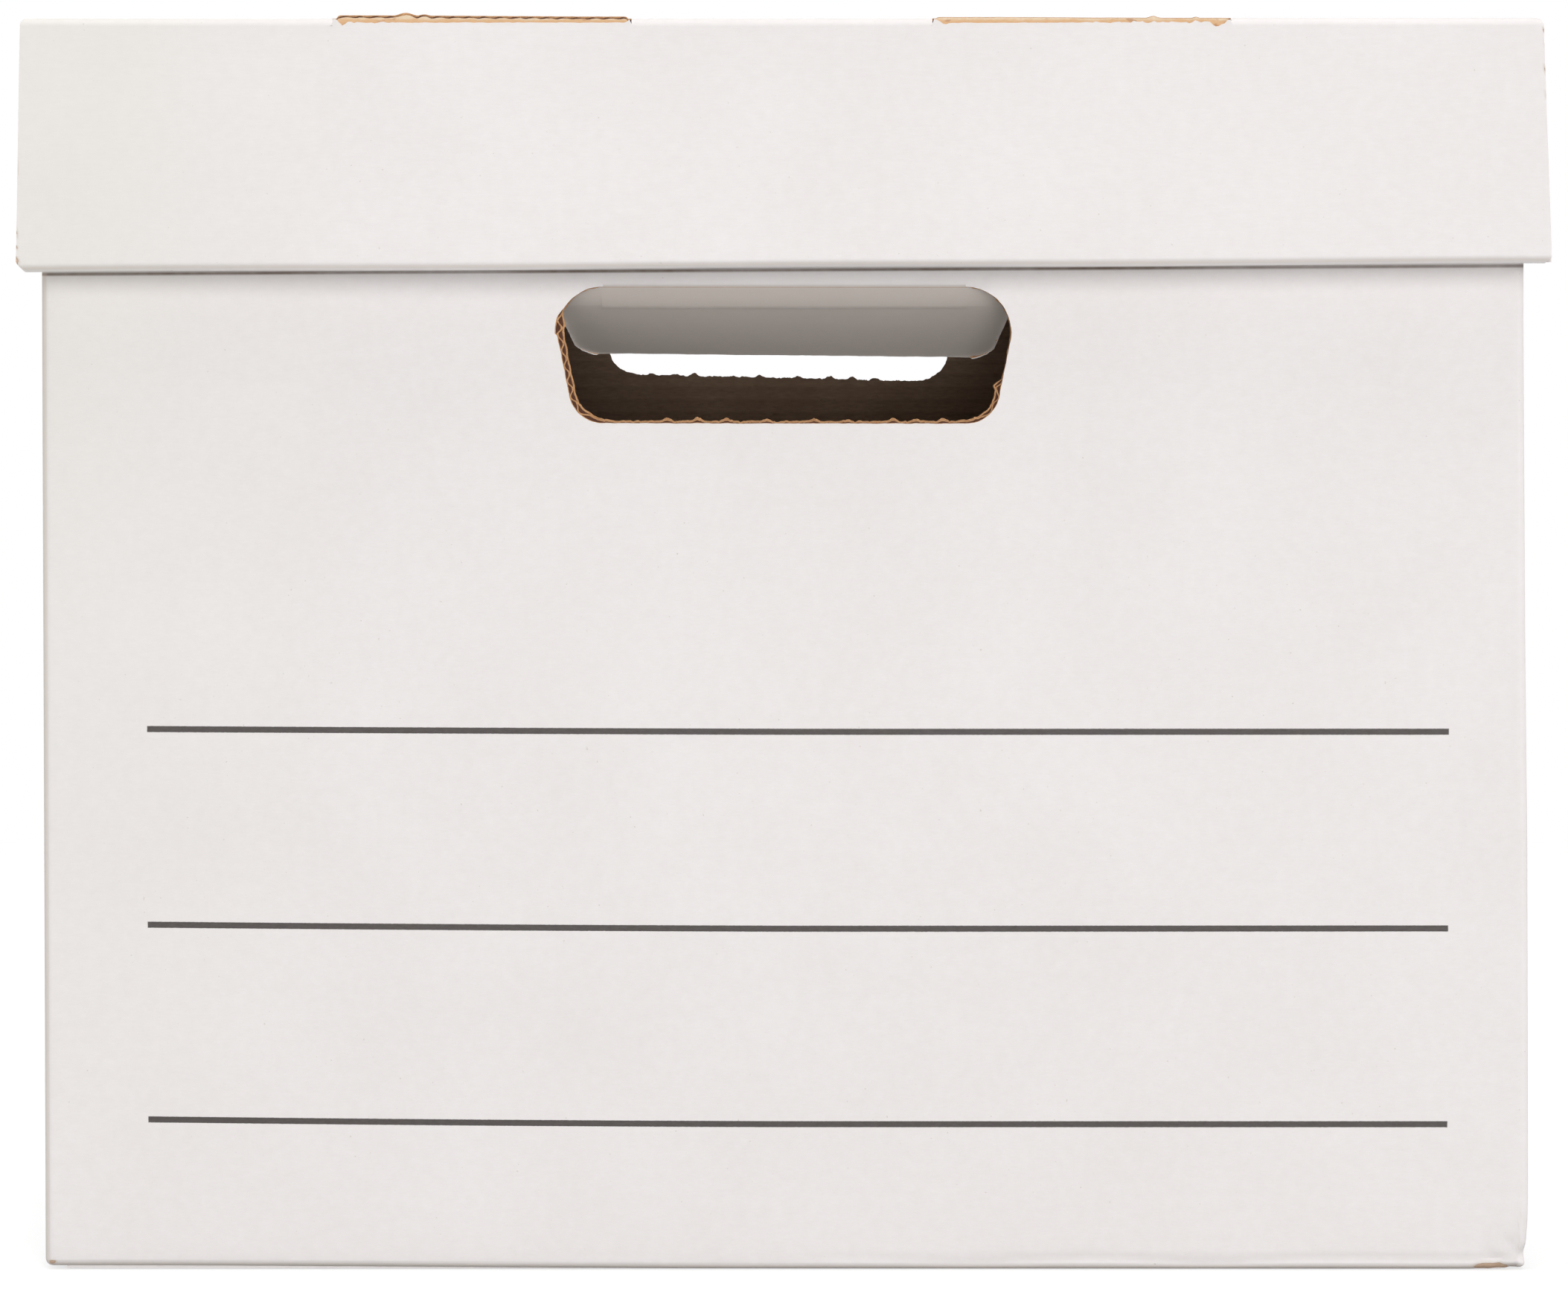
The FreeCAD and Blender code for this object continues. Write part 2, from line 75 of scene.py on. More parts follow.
def evenly(start: float, end: float, step: float) -> Array:
    """Values from start to end, as near to step apart as fits."""
    return np.linspace(start, end, max(2, int(round(abs(end - start) / step)) + 1))


def smooth(value: Array) -> Array:
    """The S curve 3 v^2 - 2 v^3 of a value held between 0 and 1."""
    held = np.clip(value, 0.0, 1.0)
    return held * held * (3.0 - 2.0 * held)


def over(value: Array, level: float, run: float) -> Array:
    """0 up to a level, then smoothly up to 1 within a run past it."""
    return smooth((value - level) / run)


def under(value: Array, level: float, run: float) -> Array:
    """0 down to a level, then smoothly up to 1 within a run below it."""
    return smooth((level - value) / run)


def hump(value: Array, centre: float, reach: float) -> Array:
    """A smooth hump: 1 at the centre, 0 from reach away on."""
    return smooth(1.0 - np.abs(value - centre) / reach)


def humps(value: Array, marks: tuple) -> Array:
    """The sum of smooth humps, each given as its height, centre and reach."""
    return sum(height * hump(value, centre, reach) for height, centre, reach in marks)


def bell(value: Array, centre: float, reach: float) -> Array:
    """The bell curve e^-(d^2), where d is the distance from the centre over the reach."""
    return np.exp(-(((value - centre) / reach) ** 2))


def arch(value: Array, reach: float) -> Array:
    """A quarter cosine each way: 1 in the middle, 0 from reach away on."""
    return np.cos(0.5 * math.pi * np.clip(value / reach, -1, 1))


def unit(vectors: Array) -> Array:
    """Each vector divided by its length."""
    return vectors / np.maximum(np.linalg.norm(vectors, axis=-1, keepdims=True), 1e-9)


def along(line: Array) -> Array:
    """Distance run along a line of points, from its first point."""
    return np.concatenate([[0.0], np.cumsum(np.linalg.norm(np.diff(line, axis=0), axis=-1))])


def resampled(line: Array, step: float) -> Array:
    """The same line with points evenly spaced along it, about step apart."""
    run = along(line)
    places = evenly(0.0, run[-1], step)
    return np.stack([np.interp(places, run, part) for part in line.T], axis=-1)


def turned(start: Array, end: Array, share: Array) -> Array:
    """Vectors that turn evenly from start to end: the weights are sines of the angle's two parts."""
    angle = math.acos(float(np.clip(np.dot(unit(start), unit(end)), -1.0, 1.0)))
    first = np.sin((1.0 - share) * angle)[:, None] * start
    second = np.sin(share * angle)[:, None] * end
    return (first + second) / math.sin(angle)


def bent(radius: float, fullness: float, count: int = 7) -> tuple[Array, Array]:
    """A fold's section over a quarter turn: how far it has gone out, and how far back.

    At angle a these are r sin(a)^(2/n) and r (1 - cos(a)^(2/n)). The fullness n is 2 where the fold
    is round and less where its crease has been crushed flatter.
    """
    angle = np.linspace(0, 0.5 * math.pi, count)
    power = 2.0 / fullness
    return radius * np.sin(angle) ** power, radius * (1 - np.clip(np.cos(angle), 0, 1) ** power)


def ragged(places: Array, seed: int, grain: float, size: float) -> Array:
    """A torn edge's offset along a line: random heights at two grains of length, joined straight."""
    dice = np.random.default_rng(seed)
    offset = 0.0
    for step, weight in ((grain, 0.6), (grain / 3, 0.4)):
        knots = np.arange(places.min() - grain, places.max() + 2 * grain, step)
        offset = offset + weight * np.interp(places, knots, dice.uniform(-1, 1, len(knots)))
    return size * offset


# Sizes of the board and of the box, as in the solids.
@dataclass(frozen=True)
class Board:
    """The corrugated board that both sheets are cut from."""

    thickness: float = 1.6
    fold: float = 1.5
    pitch: float = 3.2
    liner: float = 0.17
    gap: float = 0.38


@dataclass(frozen=True)
class BodySizes:
    """Outer sizes of the body and of its hand holes."""

    half_width: float = 154.0
    half_depth: float = 192.1
    rim: float = 258.2
    crease: float = 204.6
    hole_height: float = 28.2
    hole_top: float = 49.05
    hole_low: float = 43.4
    hole_top_radius: float = 9.4
    hole_low_radius: float = 6.9
    flap_lean: float = 60.0
    kerf: float = 0.3
    notch_inset: float = 0.15
    arc_steps: int = 20
    outline_step: float = 0.34

    @property
    def hole_floor(self) -> float:
        """Height of a hand hole's lower edge."""
        return self.crease - self.hole_height

    def hole(self, raised: float = 0.0) -> list[Array]:
        """A hand hole's outline as four runs, each from the middle of one round corner to the next.

        It goes round clockwise from the upper left, as seen from outside. Straight runs join arcs
        whose centres lie on the corners' bisectors. Along the crease the edge is cut back by raised.
        """
        top, low = (self.hole_top, self.crease), (self.hole_low, self.hole_floor)
        corners = np.array([[-top[0], top[1]], top, low, [-low[0], low[1]]])
        radii = (self.hole_top_radius, self.hole_top_radius, self.hole_low_radius, self.hole_low_radius)
        halves = []
        for place, radius in enumerate(radii):
            here = corners[place]
            before = unit(corners[place - 1] - here)
            after = unit(corners[(place + 1) % 4] - here)
            half = 0.5 * math.acos(float(np.dot(before, after)))
            centre = here + unit(before + after) * radius / math.sin(half)
            start = here + before * radius / math.tan(half) - centre
            end = here + after * radius / math.tan(half) - centre
            arc = centre + turned(start, end, np.linspace(0, 1, 2 * self.arc_steps + 1))
            halves.append((arc[: self.arc_steps + 1], arc[self.arc_steps :]))
        runs = [np.concatenate([halves[k][1], halves[(k + 1) % 4][0]]) for k in range(4)]
        if raised > 0:
            left, right = halves[0][1], halves[1][0]
            notch = np.array([left[-1] + (self.notch_inset, raised), right[0] + (-self.notch_inset, raised)])
            runs[0] = np.concatenate([left, notch, right])
        return [resampled(run, self.outline_step) for run in runs]


@dataclass(frozen=True)
class LidSizes:
    """Sizes of the lid, a tray with rolled ends."""

    half_width: float = 157.0
    half_depth: float = 200.1
    under: float = 258.2
    top: float = 259.8
    left_drop: float = 52.1
    right_drop: float = 50.2
    side_drop: float = 50.0
    flare: float = 1.45
    tab_start: float = 31.3
    tab_end: float = 92.3
    tab_rise: float = 0.6
    slot_gap: float = 0.3
    bend_margin: float = 1.5
    bend_run: float = 6.0

    @property
    def spread(self) -> float:
        """How much a side flange leans out per millimetre of height."""
        return self.flare / (self.side_drop - BOARD.thickness)

    @property
    def rolled_half_width(self) -> float:
        """Half the width of the rolled-in board, which clears the side flanges by a millimetre."""
        return self.half_width - BOARD.thickness - 1.0

    def low(self, across: Array) -> Array:
        """Height of an end's slanting lower edge at a place across it."""
        slope = (self.left_drop - self.right_drop) / 2 / self.half_width
        return self.top - 0.5 * (self.left_drop + self.right_drop) + slope * across

    def in_tab(self, across: Array, margin: float) -> Array:
        """Whether a place lies within a tab's width, widened by a margin."""
        place, hair = np.abs(across), 0.005
        return (place > self.tab_start - margin + hair) & (place < self.tab_end + margin - hair)

    def steps(self, reach: float, margin: float) -> Array:
        """Places across an end, doubled at both ends of each tab so that an edge can jump there."""
        start, end, hair = self.tab_start - margin, self.tab_end + margin, 0.012
        half = np.concatenate(
            [evenly(0, start, 4.0), evenly(start + hair, end - hair, 0.4), evenly(end, reach, 2.0)]
        )
        return np.concatenate([-half[:0:-1], half])


BOARD = Board()
BODY = BodySizes()
LID = LidSizes()


class Face(Enum):
    """The surfaces of a board, which are its meshes' material slots."""

    WHITE = 0
    KRAFT = 1
    CUT = 2
    CORE = 3


class Side(Enum):
    """The four sides of the box, as the turn in degrees that brings the front there."""

    FRONT = 0.0
    REAR = 180.0
    LEFT = -90.0
    RIGHT = 90.0

    @property
    def word(self) -> str:
        """The side as it is written in names."""
        return self.name.lower()

    def place(self, local: Array, reach: float) -> Array:
        """Turn points of this side's own axes into the frame's.

        Args:
            local: points with x along the side, y inwards from its outer face and z up.
            reach: distance of that outer face from the middle of the box.

        Returns:
            The points in the frame's axes.
        """
        angle = math.radians(self.value)
        across, inwards = local[..., 0], local[..., 1] - reach
        return points(
            across * math.cos(angle) - inwards * math.sin(angle),
            across * math.sin(angle) + inwards * math.cos(angle),
            local[..., 2],
        )


ENDS = (Side.FRONT, Side.REAR)
FLANKS = (Side.LEFT, Side.RIGHT)


class Seed(Enum):
    """Seeds of the random draws for the front's torn edges."""

    TONGUE = 5
    HOLE = 11
    SLOT = 31
    TAB = 41

    def at(self, side: Side, step: int = 0) -> int:
        """The seed for one side of the box, or one a few steps on from it."""
        return self.value + int(side.value) + step


class Rim(Enum):
    """The four edges of a grid of points, each as an axis, its place there and the next one in."""

    LOW = (0, 0, 1)
    HIGH = (0, -1, -2)
    LEFT = (1, 0, 1)
    RIGHT = (1, -1, -2)

    def of(self, grid: Array) -> Array:
        """The grid's points on this edge."""
        return np.take(grid, self.value[1], self.value[0])

    def next_to(self, grid: Array) -> Array:
        """The grid's points one step in from this edge."""
        return np.take(grid, self.value[2], self.value[0])


@dataclass(frozen=True)
class Cut:
    """How an edge of a board was cut.

    across is each point's place across the flutes, which sets where the core's wave lies. depth is
    how far the gaps beside the core reach in, and inwards the direction into the board. A gap shade
    of 1 paints the edge as dark as the painted shade in its gaps. The face is the edge's surface, or
    that surface's number between each point and the next. With a pale skin the outer paper's torn
    edge is white too.
    """

    across: Array | float = 0.0
    depth: Array | float = BOARD.gap
    inwards: tuple | None = None
    stain: Array | float = 0.0
    face: Face | Array = Face.CUT
    pale_skin: bool = False


PLAIN = Cut(depth=0.0, face=Face.WHITE)


def cut_wall(
    front: Array, back: Array, inwards: Array, cut: Cut, closed: bool = False
) -> tuple[Array, Array]:
    """The cut edge of a board: two thin liners, and between them a waved core with gaps beside it.

    Across the thickness the core's middle lies at 1/2 + 0.29 sin(2 pi across / pitch), so that it
    all but touches each liner in turn; the gaps reach in by the cut's depth, and near the ends of
    an open edge both die out.

    Args:
        front: points of the outer liner's edge.
        back: points of the inner liner's edge.
        inwards: direction into the board at each point.
        cut: how the edge was cut.
        closed: whether the edge closes on itself.

    Returns:
        The wall's grid of points, and for each the larger of its depth and its gap shade, from 0 to
        1, which sets the painted shade of the cut edge.
    """
    run = along(front)
    ease = np.ones(len(front)) if closed else smooth(np.minimum(run, run[-1] - run))
    wave = np.sin(2 * math.pi * np.broadcast_to(cut.across, run.shape) / BOARD.pitch)
    core = 0.5 + 0.29 * wave * ease
    rind = BOARD.liner / BOARD.thickness
    first, last = np.maximum(core - 0.1, rind + 0.03), np.minimum(core + 0.1, 1 - rind - 0.03)
    levels = (0.0, rind, rind + 0.02, first, core - 0.06, core + 0.06, last, 1 - rind - 0.02, 1 - rind, 1.0)
    shares = np.stack(np.broadcast_arrays(*levels), axis=-1)
    deep = np.array([0, 0, 1, 1, 0.15, 0.15, 1, 1, 0, 0]) * ease[:, None]
    depth = np.broadcast_to(cut.depth, run.shape)[:, None]
    wall = front[:, None] + (back - front)[:, None] * shares[..., None]
    wall = wall + inwards[:, None] * (depth * deep)[..., None]
    # Painted shade: a gap shade makes the edge past its outer liner as dark as its gaps.
    stain = np.broadcast_to(cut.stain, run.shape)[:, None] * (shares > 0.13)
    return wall, np.maximum(deep * (depth > 0), stain)


# Shader building.
@dataclass(frozen=True)
class Wire:
    """A node's output, so that sums on values read as sums."""

    tree: bpy.types.NodeTree
    socket: bpy.types.NodeSocket

    def _maths(self, kind: str, *values: "Wire | float") -> "Wire":
        """A Math node of one kind on some values."""
        return Wiring(self.tree).node("ShaderNodeMath", *values, operation=kind)

    def __add__(self, other: "Wire | float") -> "Wire":
        """Sum."""
        return self._maths("ADD", self, other)

    __radd__ = __add__

    def __sub__(self, other: "Wire | float") -> "Wire":
        """Difference."""
        return self._maths("SUBTRACT", self, other)

    def __rsub__(self, other: "Wire | float") -> "Wire":
        """Difference from a number."""
        return self._maths("SUBTRACT", other, self)

    def __mul__(self, other: "Wire | float") -> "Wire":
        """Product."""
        return self._maths("MULTIPLY", self, other)

    __rmul__ = __mul__

    def above(self, level: float, softness: float) -> "Wire":
        """0 below a level, 1 above it, with a soft step between."""
        ends = (level - softness, level + softness)
        return Wiring(self.tree).node("ShaderNodeMapRange", self, *ends, interpolation_type="SMOOTHSTEP")

    def near(self, level: float, reach: float, softness: float) -> "Wire":
        """1 within reach of a level and 0 away from it, with soft steps between."""
        return 1.0 - (self - level).size().above(reach, softness)

    def sine(self) -> "Wire":
        """Sine of an angle in radians."""
        return self._maths("SINE", self)

    def size(self) -> "Wire":
        """The value without its sign."""
        return self._maths("ABSOLUTE", self)

    def held(self) -> "Wire":
        """The value, or 0 where it is below 0."""
        return self._maths("MAXIMUM", self, 0.0)


@dataclass(frozen=True)
class Wiring:
    """Adds nodes to one material's tree."""

    tree: bpy.types.NodeTree

    @classmethod
    def of(cls, block: bpy.types.Material | bpy.types.World) -> "Wiring":
        """The empty tree of a new material or world."""
        block.use_nodes = True
        block.node_tree.nodes.clear()
        return cls(block.node_tree)

    def node(self, kind: str, *inputs: object, out: str | int = 0, **named: object) -> Wire:
        """Add a node.

        Args:
            kind: the node's type.
            inputs: values or wires of its first sockets, in order; None leaves one alone.
            out: the output that is wanted, by name or number.
            named: its own settings, in small letters, and values or wires of sockets by their
                names, which start with a capital, with _ for a space.

        Returns:
            The wanted output.
        """
        made = self.tree.nodes.new(kind)
        for key, value in named.items():
            if key[0].islower():
                setattr(made, key, value)
        pairs = [(made.inputs[place], value) for place, value in enumerate(inputs) if value is not None]
        pairs += [(made.inputs[key.replace("_", " ")], named[key]) for key in named if key[0].isupper()]
        for socket, value in pairs:
            if isinstance(value, Wire):
                self.tree.links.new(value.socket, socket)
            else:
                socket.default_value = value
        return Wire(self.tree, made.outputs[out])

    def end(self, kind: str, shader: Wire) -> None:
        """Lead a shader to a new output node."""
        self.tree.links.new(shader.socket, self.tree.nodes.new(kind).inputs["Surface"])

    def place(self) -> Wire:
        """Object coordinates, which are metres in the frame's axes."""
        return self.node("ShaderNodeTexCoord", out="Object")

    def axes(self) -> tuple[Wire, Wire, Wire]:
        """The three object coordinates in millimetres."""
        split = self.node("ShaderNodeSeparateXYZ", self.place()).socket.node
        return tuple(Wire(self.tree, output) * 1000.0 for output in split.outputs)

    def noise(
        self, size: float, detail: float = 3.0, stretch: tuple = (1, 1, 1), rough: float = 0.55
    ) -> Wire:
        """Cloudy noise from 0 to 1, with lumps of a size in mm, longer where stretch is over 1."""
        shrink = tuple(1.0 / (size * MM * share) for share in stretch)
        scaled = self.node("ShaderNodeVectorMath", self.place(), shrink, operation="MULTIPLY")
        return self.node("ShaderNodeTexNoise", scaled, Scale=1.0, Detail=detail, Roughness=rough)

    def ripple(self, axis: str) -> Wire:
        """The flutes, as a sine of the place along one axis."""
        across = dict(zip("xyz", self.axes()))[axis]
        return (across * (2 * math.pi / BOARD.pitch)).sine()

    def mix(self, share: Wire | float, first: object, second: object) -> Wire:
        """A colour between two, by share."""
        spare = (None,) * 5
        return self.node("ShaderNodeMix", share, *spare, first, second, out=2, data_type="RGBA")

    def attribute(self, name: str) -> Wire:
        """One of the piece's own attributes, as a value."""
        return self.node("ShaderNodeAttribute", out="Fac", attribute_name=name)


def rgb(red: int, green: int, blue: int) -> tuple[float, float, float, float]:
    """A colour given as it is seen on a screen, 0 to 255, as the linear values that shaders take."""
    parts = [part / 255.0 for part in (red, green, blue)]
    return tuple(p / 12.92 if p <= 0.04045 else ((p + 0.055) / 1.055) ** 2.4 for p in parts) + (1.0,)


PAPER, PAPER_SHADE = rgb(242, 238, 237), rgb(231, 226, 224)
SPECK, PAINTED_LEFT_SHADE, PAINTED_TONGUE_SHADE, RUBBED_AND_FOLD_SHADE = rgb(176, 158, 138), rgb(226, 223, 210), rgb(214, 199, 181), rgb(204, 188, 168)
INK, LID_SHADOW_LINE = rgb(62, 55, 52), rgb(112, 92, 77)
KRAFT_DARK, KRAFT_PALE, KRAFT_PATCH = rgb(198, 170, 146), rgb(220, 194, 170), rgb(182, 150, 126)
KRAFT_FLECK, FLUTE_LINE = rgb(120, 84, 56), rgb(140, 102, 70)
EDGE_DARK, EDGE_PALE = rgb(186, 134, 88), rgb(220, 174, 128)
EDGE_CLUMP, EDGE_GAP_SHADE = rgb(150, 102, 64), rgb(78, 44, 32)
TORN_TAN, TORN_CREAM = rgb(240, 202, 158), rgb(246, 230, 202)
TORN_FIBRE, TORN_SPOT = rgb(220, 172, 124), rgb(186, 124, 92)


@dataclass(frozen=True)
class Finish:
    """A surface of the board: its name, how rough it is and how strongly it shines."""

    name: str
    roughness: float
    sheen: float = 0.35

    def material(self) -> bpy.types.Material:
        """Make the material: a colour, a roughness and a bump worked out by the finish."""
        made = bpy.data.materials.new(self.name)
        wiring = Wiring.of(made)
        colour, rough, height = self.surface(wiring)
        normal = wiring.node("ShaderNodeBump", Strength=1.0, Distance=MM, Height=height)
        shader = wiring.node(
            "ShaderNodeBsdfPrincipled",
            Base_Color=colour,
            Roughness=rough,
            Normal=normal,
            Specular_IOR_Level=self.sheen,
        )
        wiring.end("ShaderNodeOutputMaterial", shader)
        return made

    def surface(self, wiring: Wiring) -> tuple[Wire, Wire, Wire]:
        """Colour, roughness and height in millimetres, for the material."""
        raise NotImplementedError


@dataclass(frozen=True)
class WhiteLiner(Finish):
    """Bleached paper liner: faint clouds, short fibres, a trace of the flutes and brown spots where the
    white paper is torn off, with painted shade towards the upper left, along the front's folds and
    on the hand tongues.

    Shadow line is the strength of the painted shadow line on the front, just under the lid's edge.
    """

    grain: tuple = (3.5, 1.0, 1.0)
    flutes: str = "z"
    ruled: bool = False
    rule_heights: tuple = (112.3, 71.3, 30.4)
    rule_half: float = 0.64
    rule_middle: float = 2.85
    rule_reach: float = 135.25
    rub: float = 0.0
    rub_height: float = 208.1
    rub_slope: float = 0.006
    rub_half: float = 0.3

    def surface(self, wiring: Wiring) -> tuple[Wire, Wire, Wire]:
        """Two tones of white mixed by clouds and fibres, then ink, painted shade and torn spots on top."""
        clouds = wiring.noise(38.0, 2.0)
        mottle = wiring.noise(2.6, 4.0)
        fibres = wiring.noise(0.42, 3.0, self.grain, 0.7)
        share = clouds * 0.35 + mottle * 0.35 + fibres * 0.3
        paper = wiring.mix(share.above(0.5, 0.42), PAPER, PAPER_SHADE)
        specks = wiring.noise(0.75, 1.0).above(0.8, 0.03)
        paper = wiring.mix(specks * 0.35, paper, SPECK)
        across, back, up = wiring.axes()
        # Painted shade: the paper turns darker and yellower towards the left, more so the higher it lies.
        left_shade = (0.0 - across).above(118.0, 38.0) * (up * 0.0012)
        paper = wiring.mix(left_shade, paper, PAINTED_LEFT_SHADE)
        height = wiring.ripple(self.flutes) * 0.004 + fibres * 0.012 + mottle * 0.02
        rough = self.roughness + fibres * 0.12
        if self.ruled:
            ink = self.ink(wiring)
            paper = wiring.mix(ink * (0.93 + fibres * 0.07), paper, INK)
            rough = rough - ink * 0.12
        # Painted shadow: a thin dark brown line on the front just under the lid's lower edge, patchy by the
        # clouds and mottle.
        if self.rub:
            line = (up - across * self.rub_slope).near(self.rub_height, self.rub_half, 0.25)
            front = 1.0 - back.above(-150.0, 1.0)
            uneven = clouds.above(0.5, 0.3) * 0.5 + mottle * 0.4 + 0.5
            paper = wiring.mix(line * front * uneven * self.rub, paper, LID_SHADOW_LINE)
        # Painted shade: a warm darkening on white faces by their deep share, which is full on the hand
        # tongues.
        paper = wiring.mix(wiring.attribute("deep") * 0.5, paper, PAINTED_TONGUE_SHADE)
        # Painted shade along the front's folds, and a scuffed tint round the torn spots, from one shared
        # value.
        bare = wiring.attribute("bare")
        paper = wiring.mix(bare.above(0.22, 0.2) * 0.42, paper, RUBBED_AND_FOLD_SHADE)
        torn = (bare + (mottle - 0.5) * 0.7 + (fibres - 0.5) * 0.35).above(0.55, 0.05)
        paper = wiring.mix(torn, paper, KraftLiner.brown(wiring, fibres))
        return paper, rough, height - torn * 0.12

    def ink(self, wiring: Wiring) -> Wire:
        """Three ruled lines on the front, as a mask: 1 on the ink.

        They rise a little to the left, by a square of the distance that grows towards the foot.
        """
        across, back, up = wiring.axes()
        wobble = (wiring.noise(0.5, 2.0) - 0.5) * 0.1
        left = (across * (-1 / 130.0)).held()
        rows = 0.0
        for height in self.rule_heights:
            rise = left * 0.33 + left * left * (0.13 + 0.0054 * (self.rule_heights[0] - height))
            rows = rows + ((up + wobble) - rise).near(height, self.rule_half, 0.08)
        reach = 1.0 - ((across - self.rule_middle).size() + wobble).above(self.rule_reach, 0.12)
        front = 1.0 - back.above(-190.0, 1.0)
        return rows * reach * front


@dataclass(frozen=True)
class KraftLiner(Finish):
    """Bare brown paper: long fibres, darker flecks and the flutes showing through."""

    flutes: str = "z"
    grain: tuple = (5.0, 1.0, 1.0)

    @staticmethod
    def brown(wiring: Wiring, fibres: Wire) -> Wire:
        """Three browns mixed by fibres and by wider clouds."""
        base = wiring.mix(fibres.above(0.5, 0.2), KRAFT_DARK, KRAFT_PALE)
        return wiring.mix(wiring.noise(14.0, 3.0).above(0.5, 0.3) * 0.45, base, KRAFT_PATCH)

    def surface(self, wiring: Wiring) -> tuple[Wire, Wire, Wire]:
        """Brown fibres with a ripple every flute."""
        fibres = wiring.noise(0.5, 4.0, self.grain, 0.65)
        ripple = wiring.ripple(self.flutes)
        flecks = wiring.noise(0.9, 2.0, (2.5, 1.0, 1.0)).above(0.7, 0.04)
        brown = wiring.mix(flecks * 0.22, self.brown(wiring, fibres), KRAFT_FLECK)
        brown = wiring.mix(ripple.above(0.55, 0.4) * 0.12, brown, FLUTE_LINE)
        return brown, self.roughness + fibres * 0.1, ripple * 0.02 + fibres * 0.03


@dataclass(frozen=True)
class CutEdge(Finish):
    """The board's cut edge: pale crushed fibres, with painted shade in the gaps beside the core."""

    def surface(self, wiring: Wiring) -> tuple[Wire, Wire, Wire]:
        """Pale brown, with painted shade by the attribute that says how deep a point lies."""
        fibres = wiring.noise(0.3, 4.0, (1, 1, 1), 0.7)
        clumps = wiring.noise(1.7, 2.0)
        pale = wiring.mix(fibres.above(0.5, 0.22), EDGE_DARK, EDGE_PALE)
        pale = wiring.mix(clumps.above(0.58, 0.1) * 0.35, pale, EDGE_CLUMP)
        # Painted shade in the flute gaps, by how deep each point lies.
        brown = wiring.mix(wiring.attribute("deep").above(0.5, 0.25) * 0.95, pale, EDGE_GAP_SHADE)
        return brown, self.roughness + fibres * 0.05, fibres * 0.06 + clumps * 0.05


@dataclass(frozen=True)
class TornCore(Finish):
    """Paper torn open along a tab: cream above, tan below, with a few brown spots."""

    cream_from: float = 259.85

    def surface(self, wiring: Wiring) -> tuple[Wire, Wire, Wire]:
        """Cream over tan by height and by clumps of fibres, spotted with brown."""
        fibres = wiring.noise(0.35, 4.0, (3.0, 1.0, 1.0), 0.7)
        clumps = wiring.noise(2.2, 3.0, (2.0, 1.0, 1.0))
        up = wiring.axes()[2]
        high = ((up - self.cream_from) + (clumps - 0.5) * 1.6).above(0.0, 0.35)
        paper = wiring.mix(high, TORN_TAN, TORN_CREAM)
        paper = wiring.mix(fibres.above(0.5, 0.25) * 0.3, paper, TORN_FIBRE)
        spots = wiring.noise(1.6, 2.0, (2.2, 1.0, 1.0)).above(0.66, 0.05)
        paper = wiring.mix(spots * 0.5, paper, TORN_SPOT)
        return paper, self.roughness + fibres * 0.05, fibres * 0.05 + clumps * 0.04


@dataclass
class Finishes:
    """The finishes of one sheet of board, in the order of its meshes' slots."""

    white: Finish
    kraft: Finish
    cut: Finish
    core: Finish

    @cached_property
    def materials(self) -> list[bpy.types.Material]:
        """The four materials, made once."""
        return [finish.material() for finish in (self.white, self.kraft, self.cut, self.core)]


